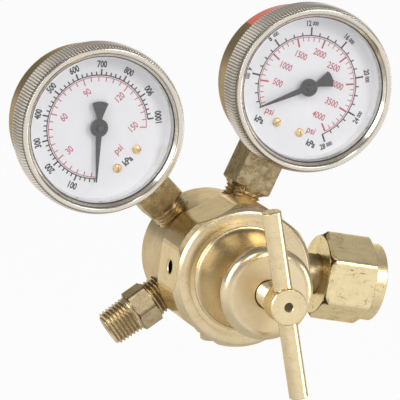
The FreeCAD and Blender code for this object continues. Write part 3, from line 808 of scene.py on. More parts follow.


# Of bare brass: waves to a metre of its patterns, which way its grain and scratches run, and the tones
# of its marks. Of these, the edge tone is painted shade along the corners of flats, and the root tone is
# painted shade in the roots of threads. The last two tones are those of plating; the valley tone is
# painted shade in the valleys of its serrations.
SPECK_SCALE = 2600.0
PIT_SCALE = 1150.0
RING_SCALE = 5200.0
GRAINS = {Marks.GROUND: (900.0, 900.0, 9000.0), Marks.DRAWN: (5000.0, 600.0, 5000.0),
          Marks.TURNED: (5000.0, 600.0, 5000.0)}
GRAIN_TURN = (0.4, 0.25, 0.3)
SCRATCH_RUNS = (((0.5, 0.3, 0.9), (90.0, 700.0, 500.0)), ((1.4, 0.8, 0.2), (600.0, 80.0, 620.0)))
SCRATCH_WIDTH = 0.011
SCRATCH_TONE = tint(0.45, 0.37, 0.24)
PIT_TONE = tint(0.34, 0.27, 0.17)
EDGE_PAINTED_SHADE = tint(0.27, 0.21, 0.13)
ROOT_PAINTED_SHADE = tint(0.26, 0.20, 0.12)
VALLEY_PAINTED_SHADE = tint(0.36, 0.33, 0.28)
SEAM_TONE = tint(0.20, 0.18, 0.15)


@dataclass(frozen=True)
class BrassFinish:
    """Bare brass with tool marks, patches of tarnish and fine scratches.

    `patch` is the size of a patch in millimetres, `groove` the depth of the marks and `rim` the tint of
    glancing reflections. The others are strengths: `edges` paints shade as a dark line along the corners
    of flats, and `roots` paints shade in the roots of threads.
    """

    name: str
    light: Colour
    dark: Colour
    marks: Marks
    roughness: float = 0.24
    tarnish: float = 0.5
    patch: float = 4.0
    groove: float = 0.006
    scratch: float = 0.5
    line_tone: float = 0.5
    pits: float = 0.25
    rim: Colour = tint(0.94, 0.89, 0.79)
    edges: float = 0.0
    roots: float = 0.0
    zones: tuple[Zone, ...] = ()

    def tooling(self, coat: Coat, place: Wire, spot: Optional[Spot]) -> tuple[Wire, Wire]:
        """The fine and the wide tool marks.

        Turned marks are noise on the distance from the axis and the station along it, so they run round
        it. The others are noise stretched one way.

        Args:
            coat: The material under construction.
            place: The point on the surface.
            spot: Where it lies about the piece's axis, if the piece has one.

        Returns:
            Two patterns from 0 to 1.
        """
        if spot is not None and self.marks is Marks.TURNED:
            rings = coat.add("ShaderNodeCombineXYZ", None, {0: spot[0] * RING_SCALE, 1: spot[1] * RING_SCALE})
            return coat.noise(rings, 1.0, 2.0, 0.7), coat.noise(rings, 0.16, 2.0, 0.5)
        grain = GRAINS[self.marks]
        lines = coat.noise(coat.stretched(place, grain, GRAIN_TURN), 1.0, 2.0, 0.6)
        wide = coat.noise(coat.stretched(place, tuple(value * 0.12 for value in grain)), 1.0, 2.0, 0.5)
        return lines, wide

    def scratches(self, coat: Coat, place: Wire, cloud: Wire) -> Wire:
        """Scratches: the thin contours where a stretched noise crosses a half, in some patches only.

        Args:
            coat: The material under construction.
            place: The point on the surface.
            cloud: The pattern of the patches.

        Returns:
            The mask of the scratches.
        """
        runs = []
        for turn, stretch in SCRATCH_RUNS:
            contour = coat.noise(coat.stretched(place, stretch, turn), 1.0, 1.0, 0.5)
            runs.append(1.0 - abs(contour - 0.5).between(0.0, SCRATCH_WIDTH))
        return runs[0].most(runs[1]) * cloud.between(0.42, 0.62) * self.scratch

    def material(self, axes: Optional[Axes] = None) -> bpy.types.Material:
        """Make the material.

        Args:
            axes: The axis the piece was turned about, where it was turned.

        Returns:
            The material.
        """
        coat = Coat(self.name)
        place = coat.where()
        cloud = coat.noise(place, 1.0 / (self.patch * MM), 4.0, 0.62)
        speck = coat.noise(place, SPECK_SCALE, 3.0, 0.6)
        worn = (cloud * 0.75 + speck * 0.25).between(0.36, 0.66)
        about = axes is not None and (self.marks is Marks.TURNED or bool(self.zones))
        spot = coat.around(place, axes) if about else None
        lines, wide = self.tooling(coat, place, spot)
        scratches = self.scratches(coat, place, cloud)
        shade = (worn - 0.5) * self.tarnish + ((wide - 0.5) + (lines - 0.5) * 0.7) * self.line_tone + 0.45
        pits = coat.noise(place, PIT_SCALE, 2.0, 0.6).between(0.655, 0.70) * self.pits
        colour = coat.blend(shade.between(0.0, 1.0), self.light, self.dark)
        colour = coat.blend(scratches * 0.6, colour, SCRATCH_TONE)
        colour = coat.blend(pits, colour, PIT_TONE)
        rough = worn * 0.08 + (lines - 0.5) * 0.10 + self.roughness + scratches * 0.10
        for zone in self.zones if spot is not None else ():
            inside = zone.mask(*spot)
            colour = coat.blend(inside * zone.share, colour, zone.colour)
            rough = rough + inside * zone.rougher
        # Painted shade: a dark line on each flat along its corners.
        if self.edges:
            cut = coat.depth("cut")
            line = cut.between(0.0, 0.06) * (1.0 - cut.between(0.16, 0.36))
            colour = coat.blend(line * self.edges, colour, EDGE_PAINTED_SHADE)
        # Painted shade: the roots of threads darkened by how deep the groove is.
        if self.roots:
            colour = coat.blend(coat.depth("groove").between(0.25, 0.72) * self.roots, colour, ROOT_PAINTED_SHADE)
        height = lines * 0.7 + wide * 0.6 - scratches * 0.8 + speck * 0.3 - pits * 1.5
        return coat.finish({"Base Color": colour, "Metallic": 1.0, "Roughness": rough,
                            "Specular Tint": (*self.rim, 1.0), "Normal": coat.bump(height, self.groove)})


@dataclass(frozen=True)
class PlatedFinish:
    """Plating over a rolled ring: satin on the serrated band, and polished inside a radius.

    Each seam is a dark line, given as (radius, width, share). The valleys of the serrations get painted
    shade.
    """

    name: str
    light: Colour
    dark: Colour
    polished_r: float
    face: Colour = tint(0.86, 0.83, 0.78)
    seams: tuple[tuple[float, float, float], ...] = ()
    roughness: float = 0.32
    polish: float = 0.17
    valley: float = 0.42

    def material(self, axes: Axes) -> bpy.types.Material:
        """Make the material.

        Args:
            axes: The ring's axis, from which the radii are measured.

        Returns:
            The material.
        """
        coat = Coat(self.name)
        place = coat.where()
        radius = coat.around(place, axes)[0]
        shiny = 1.0 - radius.between((self.polished_r - 0.1) * MM, (self.polished_r + 0.1) * MM)
        peel = coat.noise(place, 2400.0, 2.0, 0.5)
        colour = coat.blend(peel.between(0.3, 0.7), self.light, self.dark)
        colour = coat.blend(shiny * 0.8, colour, self.face)
        # Painted shade: the valleys between the teeth darkened by their depth.
        colour = coat.blend(coat.depth("cut").between(0.08, 0.30) * self.valley, colour, VALLEY_PAINTED_SHADE)
        for seam_r, width, share in self.seams:
            line = 1.0 - abs(radius - seam_r * MM).between(width * 0.35 * MM, width * 0.65 * MM)
            colour = coat.blend(line * share, colour, SEAM_TONE)
        rough = shiny * (self.polish - self.roughness) + self.roughness + (peel - 0.5) * 0.08
        return coat.finish({"Base Color": colour, "Metallic": 1.0, "Roughness": rough,
                            "Specular Tint": (0.8, 0.76, 0.7, 1.0), "Normal": coat.bump(peel, 0.003)})


@dataclass(frozen=True)
class PaintFinish:
    """Paint, ink, plastic, rubber or fibre: a coloured surface with a little unevenness."""

    name: str
    colour: Colour
    roughness: float = 0.45
    variation: float = 0.05
    scale: float = 500.0
    height: float = 0.004

    def material(self) -> bpy.types.Material:
        """Make the material: the colour darkened by noise, with a matching bump.

        Returns:
            The material.
        """
        coat = Coat(self.name)
        place = coat.where()
        cloud = coat.noise(place, self.scale, 3.0, 0.6)
        fine = coat.noise(place, self.scale * 9.0, 2.0, 0.5)
        darker = tuple(value * (1.0 - 2.0 * self.variation) for value in self.colour)
        colour = coat.blend(cloud.between(0.3, 0.75), self.colour, darker)
        return coat.finish({"Base Color": colour, "Roughness": self.roughness + (fine - 0.5) * 0.1,
                            "Normal": coat.bump(fine, self.height)})


@dataclass(frozen=True)
class SteelFinish:
    """Ground steel or bronze wire and plate."""

    name: str
    light: Colour
    dark: Colour
    roughness: float = 0.3

    def material(self) -> bpy.types.Material:
        """Make the material: two tones and the fine lines that grinding leaves.

        Returns:
            The material.
        """
        coat = Coat(self.name)
        place = coat.where()
        cloud = coat.noise(place, 400.0, 3.0, 0.6)
        lines = coat.noise(coat.stretched(place, (800.0, 8000.0, 800.0), (0.2, 0.5, 0.1)), 1.0)
        colour = coat.blend(cloud.between(0.35, 0.7), self.light, self.dark)
        return coat.finish({"Base Color": colour, "Metallic": 1.0,
                            "Roughness": self.roughness + (lines - 0.5) * 0.15,
                            "Normal": coat.bump(lines, 0.003)})


@dataclass(frozen=True)
class WindowFinish:
    """Clear sheet: it shows what is behind it, and reflects more as it turns away from the eye.

    The sheet is hazier between the two radii of `haze` and its edge.
    """

    name: str = "window_clear"
    haze: tuple[float, float] = (24.9, 26.2)
    haze_share: float = 0.3

    def material(self, axes: Axes) -> bpy.types.Material:
        """Make the material: a mirror that covers 0.04 + 0.96 (1 - cosine)^5 of what is behind it.

        Args:
            axes: The window's axis.

        Returns:
            The material.
        """
        coat = Coat(self.name)
        place = coat.where()
        turned_away = coat.add("ShaderNodeLayerWeight", None, {"Blend": 0.5}, "Facing")
        radius = coat.around(place, axes)[0]
        edge = radius.between(self.haze[0] * MM, self.haze[1] * MM) * self.haze_share
        share = (turned_away ** 5.0 * 0.96 + 0.04).most(edge)
        smear = coat.noise(place, 90.0, 2.0, 0.5)
        return coat.finish({"Base Color": (1.0, 1.0, 1.0), "Metallic": 1.0,
                            "Roughness": 0.02 + smear.between(0.45, 0.8) * 0.03 + edge, "Alpha": share})


def dress(piece: bpy.types.Object, material: bpy.types.Material) -> None:
    """Give a whole piece one material.

    Args:
        piece: The piece.
        material: The material.
    """
    if piece.material_slots:
        for slot in piece.material_slots:
            slot.material = material
    else:
        piece.data.materials.append(material)


def place_piece(piece: bpy.types.Object, body: str, material: bpy.types.Material,
                stands_for: Sequence[str] = ()) -> None:
    """Dress a new piece, let it ride on its body, and report it.

    Args:
        piece: The piece, already in place.
        body: The CAD body it moves with.
        material: Its material.
        stands_for: CAD nodes that it replaces.
    """
    dress(piece, material)
    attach(piece, body)
    if stands_for:
        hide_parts(*stands_for)
    log.info("%s: %d faces on %s", piece.name, len(piece.data.polygons), body)


# Finishes of this object.

SEALANT = tint(0.88, 0.80, 0.64)
CASE_BRASS = BrassFinish("case_brass", tint(0.91, 0.835, 0.685), tint(0.83, 0.755, 0.60), Marks.TURNED,
                         roughness=0.20, tarnish=0.2, patch=7.0, groove=0.012, line_tone=0.8, edges=0.25,
                         zones=(Zone(15.0, 18.3, -60.0, -38.9, tint(0.83, 0.78, 0.67), 0.8, fade=0.8),
                                # Painted shade: the cove darker towards its upper left side.
                                Zone(15.0, 18.3, -58.0, -38.9, tint(0.66, 0.61, 0.51), 0.8, fade=0.8,
                                     side=(-0.6, 0.0, 0.8)),
                                # Painted light: the cove lighter and rougher towards its lower side.
                                Zone(15.0, 18.3, -60.0, -38.9, tint(0.97, 0.91, 0.79), 0.9, 0.05, 0.8,
                                     side=(0.1, 0.0, -0.99)),
                                # Painted shade: the walls of the vent hole near black.
                                Zone(17.0, 24.5, -29.6, -24.2, tint(0.05, 0.035, 0.022), 1.0, 0.5, 0.15),
                                Zone(5.3, 13.4, -66.0, -64.4, tint(0.93, 0.865, 0.73), 0.6, 0.20, 0.3)))
BODY_BRASS = BrassFinish("body_brass", tint(0.87, 0.805, 0.685), tint(0.77, 0.70, 0.57), Marks.TURNED,
                         roughness=0.27, tarnish=0.3, patch=5.0, rim=tint(0.90, 0.84, 0.73))
HANDLE_BRASS = BrassFinish("handle_brass", tint(0.95, 0.875, 0.71), tint(0.88, 0.80, 0.63), Marks.TURNED,
                           roughness=0.20, tarnish=0.25, patch=3.0)
SCREW_HEAD_BRASS = BrassFinish(
    "screw_head_brass", tint(0.95, 0.875, 0.71), tint(0.88, 0.80, 0.63), Marks.TURNED,
    roughness=0.20, tarnish=0.25, patch=3.0, roots=0.6,
    # Painted shade: the dimple in the head near black.
    zones=(Zone(-1.0, 1.62, -85.15, -80.0, tint(0.16, 0.11, 0.07), 0.9, 0.25, 0.2),))
NUT_BRASS = BrassFinish("nut_brass", tint(0.97, 0.895, 0.71), tint(0.89, 0.81, 0.63), Marks.GROUND,
                        roughness=0.25, tarnish=0.2, patch=4.0, scratch=1.8, pits=0.3, edges=1.0, roots=0.6)
# Painted shade: the inlet nipple's brass is a darker copy, standing for the shade it lies in under the case's
# rim.
SHADED_INLET_BRASS = BrassFinish("inlet_brass", tint(0.68, 0.62, 0.50), tint(0.52, 0.46, 0.35), Marks.TURNED,
                          roughness=0.36, tarnish=0.4, patch=3.0, line_tone=0.9, roots=0.5)
OUTLET_BRASS = BrassFinish("outlet_brass", tint(0.83, 0.755, 0.61), tint(0.66, 0.58, 0.44), Marks.GROUND,
                           roughness=0.25, tarnish=0.3, patch=3.5, scratch=1.0, pits=0.5, edges=0.9,
                           roots=0.4, zones=(Zone(4.0, 6.75, 35.6, 47.0, tint(0.87, 0.81, 0.685), 0.8),))
SOCKET_BRASS = BrassFinish("socket_brass", tint(0.75, 0.675, 0.53), tint(0.50, 0.43, 0.31), Marks.GROUND,
                           roughness=0.25, tarnish=0.5, patch=2.5, scratch=1.8, pits=0.9,
                           zones=(Zone(4.0, 7.0, -56.0, -43.0, SEALANT, 0.45),))
GAUGE_BRASS = BrassFinish("gauge_case_brass", tint(0.69, 0.62, 0.50), tint(0.59, 0.52, 0.40), Marks.DRAWN,
                          roughness=0.30, tarnish=0.3, patch=6.0)
SCREW_BRASS = BrassFinish("screw_brass", tint(0.97, 0.88, 0.68), tint(0.86, 0.74, 0.50), Marks.GROUND,
                          roughness=0.28, tarnish=0.4, patch=1.0)
INNER_BRASS = BrassFinish("inner_brass", tint(0.86, 0.76, 0.52), tint(0.70, 0.58, 0.36), Marks.TURNED)
MOVEMENT_BRASS = BrassFinish("movement_brass", tint(0.90, 0.80, 0.54), tint(0.74, 0.62, 0.38), Marks.GROUND,
                             roughness=0.25)
BEZEL_PLATE = PlatedFinish("bezel_plated", tint(0.97, 0.945, 0.90), tint(0.91, 0.88, 0.83), 29.4,
                           seams=((29.38, 0.28, 0.8), (27.3, 0.22, 0.75)))
GASKET_BLACK = PaintFinish("gasket_black", tint(0.18, 0.18, 0.18), 0.6)
POINTER_GREY = PaintFinish("pointer_grey", tint(0.22, 0.215, 0.22), 0.32)
DIAL_WHITE = PaintFinish("dial_white", tint(0.96, 0.957, 0.97), 0.5, 0.012, 120.0, 0.001)
INK_BLACK = PaintFinish("scale_black", tint(0.10, 0.10, 0.11), 0.5, 0.1, 900.0, 0.001)
INK_RED = PaintFinish("scale_red", tint(0.78, 0.27, 0.33), 0.5, 0.08, 900.0, 0.001)
BAND_RED = PaintFinish("band_red", tint(0.86, 0.38, 0.30), 0.4, 0.04, 300.0, 0.002)
SPACER_GREY = PaintFinish("spacer_grey", tint(0.95, 0.95, 0.95), 0.5)
TUBE_BRONZE = SteelFinish("tube_bronze", tint(0.80, 0.62, 0.42), tint(0.62, 0.45, 0.28))
SPRING_STEEL = SteelFinish("spring_steel", tint(0.62, 0.62, 0.64), tint(0.42, 0.42, 0.45))
PLATE_STEEL = SteelFinish("plate_steel", tint(0.70, 0.70, 0.72), tint(0.55, 0.55, 0.58), 0.35)
FILTER_BRONZE = SteelFinish("filter_bronze", tint(0.66, 0.50, 0.32), tint(0.40, 0.30, 0.20), 0.6)
RUBBER = PaintFinish("diaphragm_rubber", tint(0.13, 0.13, 0.13), 0.7, 0.15, 900.0, 0.01)
RING_PLASTIC = PaintFinish("ring_plastic", tint(0.90, 0.90, 0.86), 0.4)
SEAT_PLASTIC = PaintFinish("seat_plastic", tint(0.93, 0.92, 0.88), 0.4)
WASHER_FIBRE = PaintFinish("washer_fibre", tint(0.55, 0.25, 0.20), 0.8, 0.12, 1500.0, 0.02)


# The regulator's own axis.


def regulator_axes() -> Axes:
    """The regulator's axis, with stations along +Y counted from the plane of the gauges' centres.

    Returns:
        The axes.
    """
    x, _, z = JOINTS["handle_turn"]["pos_m"]
    y = JOINTS["delivery_needle_turn"]["pos_m"][1]
    return Axes(np.array([x, y, z]) / MM, ALONG_X, ALONG_Z, ALONG_Y)


def inlet_axes(middle: Axes) -> Axes:
    """The inlet's axis along +X, with stations counted from the regulator's own.

    Args:
        middle: The regulator's axes.

    Returns:
        The axes.
    """
    origin = np.array(JOINTS["nut_turn"]["pos_m"]) / MM + ALONG_X * middle.origin[0]
    return Axes(origin, ALONG_Y, ALONG_Z, ALONG_X)


def ray_axes(middle: Axes, angle: float, station: float = 0.0) -> Axes:
    """Axes along a radial direction of the regulator, with angles counted from +Y.

    Args:
        middle: The regulator's axes.
        angle: The direction, in degrees from +X towards +Z.
        station: Where they start on the regulator's axis.

    Returns:
        The axes.
    """
    turn = math.radians(angle)
    away = np.array([math.cos(turn), 0.0, math.sin(turn)])
    return Axes(middle.origin + ALONG_Y * station, ALONG_Y, np.cross(away, ALONG_Y), away)


def hexagon_radii(flats: float) -> tuple[float, float]:
    """How far a hexagon's flats and its corners lie from its middle."""
    return flats / 2.0, flats / 2.0 / math.cos(math.pi / 6.0)


@dataclass
class SpringCase:
    """The hexagonal spring case with its coved nose, rim and vent hole."""

    axes: Axes
    flat: float = 24.6
    corner: float = 25.8
    flats_turn: float = 3.6
    back_y: float = -14.5
    flats_end_y: float = -33.5
    rim_y: float = -37.1
    root: Corner = (18.0, -38.4)
    waist: Corner = (15.7, -49.5)
    shoulder: Corner = (16.4, -59.5)
    nose_round: Corner = (15.9, -63.4)
    nose: Corner = (13.3, -64.7)
    mouth_r: float = 5.45
    hole_r: float = 5.0
    inner_y: float = -59.7
    bore_r: float = 13.2
    bore_back_y: float = -28.5
    plate_r: float = 16.5
    shoulder_y: float = -25.4
    spigot_r: float = 20.55
    vent_r: float = 2.4
    vent_y: float = -26.9
    edge: float = 0.25
    bevel: float = 0.8
    rim_ring: float = 2.4

    def profile(self) -> Array:
        """The loop of the case's section: outside from back to front, then the bore.

        Returns:
            Rows of (radius, station).
        """
        cove = arc_through(self.root, self.waist, self.shoulder, 18)
        nose = arc_through(self.shoulder, self.nose_round, self.nose, 10)
        ring_r = self.root[0] + self.rim_ring
        slope = (self.root[1] - self.rim_y) / (self.root[0] - self.flat)
        ring_y = self.rim_y + slope * (ring_r - self.flat)
        bevel_y = self.rim_y - self.bevel * slope
        corners: list[Corner] = [
            (self.spigot_r, self.back_y), (self.flat - 0.5, self.back_y, self.edge),
            (self.corner, self.back_y - 0.7, self.edge), (self.corner, self.flats_end_y, 0.3),
            (self.flat + 0.3 * self.bevel, self.rim_y + self.bevel, 0.2),
            (self.flat - self.bevel, bevel_y, 0.25), (ring_r + 0.3, ring_y), (ring_r + 0.1, ring_y + 0.05),
            (ring_r - 0.1, ring_y + 0.04), (self.root[0] + 0.85, self.root[1] + 0.38),
            (self.root[0] + 0.65, self.root[1] - 0.12, 0.2), (self.root[0] + 0.25, self.root[1] - 0.22, 0.2)]
        corners += cove + [self.shoulder] + nose
        corners += [self.nose, (self.nose[0] - 0.6, self.nose[1]), (self.mouth_r, self.nose[1], self.edge),
                    (self.hole_r, self.nose[1] + 0.6), (self.hole_r, self.inner_y),
                    (self.bore_r, self.inner_y), (self.bore_r, self.bore_back_y),
                    (self.plate_r, self.bore_back_y), (self.plate_r, self.shoulder_y),
                    (self.spigot_r, self.shoulder_y)]
        return rounded(corners)

    def build(self) -> None:
        """Make the case and drill its vent."""
        normal = math.radians(self.flats_turn)
        flats = Flats(self.flat, 6, normal, self.nose[1] - 1.0, self.back_y + 1.0, blend=0.06)
        wrench = turned(self.axes, spaced(self.profile(), self.rim_y - 0.2, self.flats_end_y, 0.2),
                        count=480, start=normal + TURN / 12.0, shape=flats)
        case = wrench.named("turned_case")
        vent_axes = ray_axes(self.axes, 180.0 + self.flats_turn, self.vent_y)
        drill = rounded([(0.0, self.bore_r - 1.0), (self.vent_r, self.bore_r - 1.0),
                         (self.vent_r, self.flat - 0.25), (self.vent_r + 0.3, self.flat + 0.05),
                         (self.vent_r + 0.3, self.corner + 1.0), (0.0, self.corner + 1.0)], closed=False)
        carved(case, turned(vent_axes, drill, closed=False, count=48).named("vent_drill", soft=False))
        place_piece(case, "regulator", CASE_BRASS.material(self.axes), ["spring_case"])


@dataclass
class AdjustingHandle:
    """The adjusting screw with its round head, and the round bar pressed through it."""

    axes: Axes
    head_r: float = 6.43
    head_front_y: float = -85.2
    head_back_y: float = -76.4
    screw_r: float = 4.95
    tip_y: float = -57.5
    pitch: float = 1.5
    edge: float = 0.4
    dimple_r: float = 1.5
    dimple: float = 0.4
    hole_r: float = 3.42
    bar_y: float = -81.0
    bar_turn: float = 110.5
    bar_r: float = 3.3
    bar_half: float = 33.3

    def profile(self) -> Array:
        """The screw's half section, from the bottom of the dimple to the tip.

        Returns:
            Rows of (radius, station).
        """
        front = self.head_front_y
        return rounded([
            (0.0, front + self.dimple + 0.3), (self.dimple_r, front + self.dimple),
            (self.dimple_r, front + 0.25), (self.dimple_r + 0.25, front),
            (self.head_r - self.edge, front, 0.1),
            (self.head_r, front + self.edge, 0.15), (self.head_r, self.head_back_y - self.edge, 0.15),
            (self.head_r - self.edge, self.head_back_y, 0.1), (self.screw_r, self.head_back_y, 0.15),
            (self.screw_r, self.tip_y - 1.0), (self.screw_r - 1.0, self.tip_y), (0.0, self.tip_y)],
            closed=False)

    def build(self) -> None:
        """Make the screw, cut its thread and its cross hole, and make the bar."""
        thread = Thread(self.head_back_y + 0.2, self.tip_y, self.pitch, 0.62, roof=self.screw_r + 0.05)
        shell = turned(self.axes, thread.spread(self.profile()), closed=False, count=160, threads=[thread])
        screw = shell.named("threaded_screw")
        cross = ray_axes(self.axes, self.bar_turn, self.bar_y)
        reach = self.head_r + 1.0
        drill = np.array([(0.0, -reach), (self.hole_r, -reach), (self.hole_r, reach), (0.0, reach)])
        carved(screw, turned(cross, drill, closed=False, count=64).named("cross_drill", soft=False))
        place_piece(screw, "handle", SCREW_HEAD_BRASS.material(self.axes),
                    ["adjusting_screw"])
        rod = rounded([
            (0.0, -self.bar_half), (self.bar_r - self.edge, -self.bar_half, 0.12),
            (self.bar_r, self.edge - self.bar_half, 0.2), (self.bar_r, self.bar_half - self.edge, 0.2),
            (self.bar_r - self.edge, self.bar_half, 0.12), (0.0, self.bar_half)], closed=False)
        place_piece(turned(cross, rod, closed=False, count=96).named("turned_bar"), "handle",
                    HANDLE_BRASS.material(cross), ["tee_bar"])


# Fittings.


@dataclass
class InletFitting:
    """The inlet nipple with its union nut, along +X."""

    axes: Axes
    flats: float = 28.58
    inner: float = 38.0
    hex_end: float = 56.7
    mouth: float = 61.0
    collar_r: float = 14.2
    thread_r: float = 9.495
    thread_start: float = 48.5
    relief_r: float = 10.5
    shoulder: float = 41.0
    hole_r: float = 7.32
    inner_bevel: float = 0.9
    outer_bevel: float = 0.35
    thread_pitch: float = INCH / 14.0
    nipple_r: float = 7.27
    pipe_r: float = 6.95
    pipe_start: float = 14.2
    nipple_shoulder: float = 26.0
    flange: tuple[float, float] = (41.1, 44.0)
    flange_r: float = 9.3
    face: float = 46.0
    bore_r: float = 1.6
    filter_r: float = 2.62
    filter_length: float = 5.0

    def nut(self) -> Shell:
        """The nut: a bevelled hexagon, a round collar and a threaded bore.

        Returns:
            The closed shell.
        """
        half, corner = hexagon_radii(self.flats)
        rise = corner - half
        profile = rounded([
            (self.hole_r, self.inner, 0.2), (half - 0.15, self.inner, 0.15),
            (corner, self.inner + rise * self.inner_bevel, 0.25),
            (corner, self.hex_end - rise * self.outer_bevel, 0.2), (half - 0.12, self.hex_end, 0.1),
            (self.collar_r - 0.12, self.hex_end + 0.12), (self.collar_r - 0.12, self.mouth - 0.4),
            (self.collar_r - 0.52, self.mouth, 0.12), (self.thread_r + 0.9, self.mouth, 0.12),
            (self.thread_r, self.mouth - 0.9), (self.thread_r, self.thread_start),
            (self.relief_r, self.thread_start), (self.relief_r, self.shoulder), (self.hole_r, self.shoulder)])
        thread = Thread(self.thread_start, self.mouth - 0.3, self.thread_pitch, 0.9, inside=True,
                        roof=self.relief_r - 0.05)
        flats = Flats(half, 6, math.radians(120.0), self.inner - 1.0, self.hex_end + 0.05,
                      blend=0.06, crown=0.30, crown_start=0.86)
        return turned(self.axes, thread.spread(profile), count=420, start=math.radians(90.0), shape=flats,
                      threads=[thread])

    def nipple(self) -> Shell:
        """The nipple: pipe thread into the body, round shank, flange and drilled face.

        Returns:
            The closed shell.
        """
        profile = rounded([
            (self.bore_r, self.pipe_start), (self.pipe_r - 0.37, self.pipe_start),
            (self.pipe_r, self.nipple_shoulder - 0.3), (self.nipple_r, self.nipple_shoulder, 0.1),
            (self.nipple_r, self.flange[0]), (self.flange_r, self.flange[0], 0.15),
            (self.flange_r, self.flange[1], 0.2), (self.nipple_r, self.face - 0.4),
            (self.nipple_r - 0.4, self.face), (self.filter_r, self.face),
            (self.filter_r, self.face - self.filter_length), (self.bore_r, self.face - self.filter_length)])
        thread = Thread(self.pipe_start, self.nipple_shoulder - 0.2, floor=5.0, roof=self.pipe_r + 0.02)
        return turned(self.axes, thread.spread(profile), count=144, threads=[thread])

    def build(self) -> None:
        """Make the nut and the nipple."""
        place_piece(self.nut().named("threaded_nut"), "nut",
                    NUT_BRASS.material(self.axes), ["inlet_nut"])
        place_piece(self.nipple().named("threaded_inlet"), "regulator",
                    SHADED_INLET_BRASS.material(self.axes), ["inlet_nipple"])


@dataclass
class OutletFitting:
    """The hexagon outlet nipple with a tapered pipe thread at each end."""

    axes: Axes
    flats: float = 14.3
    hexagon: tuple[float, float] = (27.4, 35.3)
    start: float = 14.2
    end: float = 46.4
    pipe_r: float = 6.95
    taper: float = PIPE_TAPER
    bore_r: float = 4.0
    bevel: float = 0.5

    def build(self) -> None:
        """Make the nipple in one turned piece, with its hexagon cut by flats."""
        low, high = self.hexagon
        half, corner = hexagon_radii(self.flats)
        rise = (corner - half) * self.bevel
        tip_r = self.pipe_r - (self.end - high) * self.taper
        profile = rounded([
            (self.bore_r, self.start), (self.pipe_r - (low - self.start) * self.taper, self.start),
            (self.pipe_r - 0.05, low - 0.05), (half - 0.1, low, 0.05), (corner, low + rise, 0.15),
            (corner, high - rise, 0.15), (half - 0.1, high, 0.05), (self.pipe_r - 0.35, high),
            (self.pipe_r - 0.4, high + 0.5), (self.pipe_r - 0.02, high + 0.9),
            (tip_r, self.end - 0.9), (tip_r - 0.8, self.end, 0.15),
            (self.bore_r + 0.6, self.end, 0.15), (self.bore_r, self.end - 0.6)])
        root = Thread(self.start, low - 0.05, floor=5.0, roof=self.pipe_r)
        tail = Thread(high + 0.6, self.end + 0.4, depth=0.75, floor=5.2, roof=self.pipe_r + 0.01)
        flats = Flats(half, 6, math.radians(30.0), low - 0.02, high + 0.02,
                      blend=0.06, crown=0.20, crown_start=0.8)
        shell = turned(self.axes, tail.spread(root.spread(profile)), count=240, shape=flats,
                       threads=[root, tail])
        place_piece(shell.named("threaded_outlet"), "regulator",
                    OUTLET_BRASS.material(self.axes), ["outlet_nipple"])


# Gauges.

SCALE_ZERO = 229.7
SCALE_SWEEP = 274.7
PSI_IN_KPA = 0.145038
KPA_IN_PSI = 6.8948
# Of a letter: its height against the font's size, and the steps in its curves.
CAPITAL_SHARE = 0.7
LETTER_STEPS = 3


@dataclass(frozen=True)
class Scale:
    """One printed scale of a dial, in its own units.

    A value v stands at the angle zero - v * degrees, counted from local X towards the stem's far side.
    """

    degrees: float
    small: float
    large: float
    last: float
    arc_r: float
    small_r: float
    large_r: float
    small_width: float
    large_width: float
    first: float = 0.0


@dataclass(frozen=True)
class Word:
    """A number or unit printed on a dial, at local (across, up) and turned by an angle in degrees."""

    text: str
    across: float
    up: float
    turn: float
    height: float
    narrow: float = 0.74


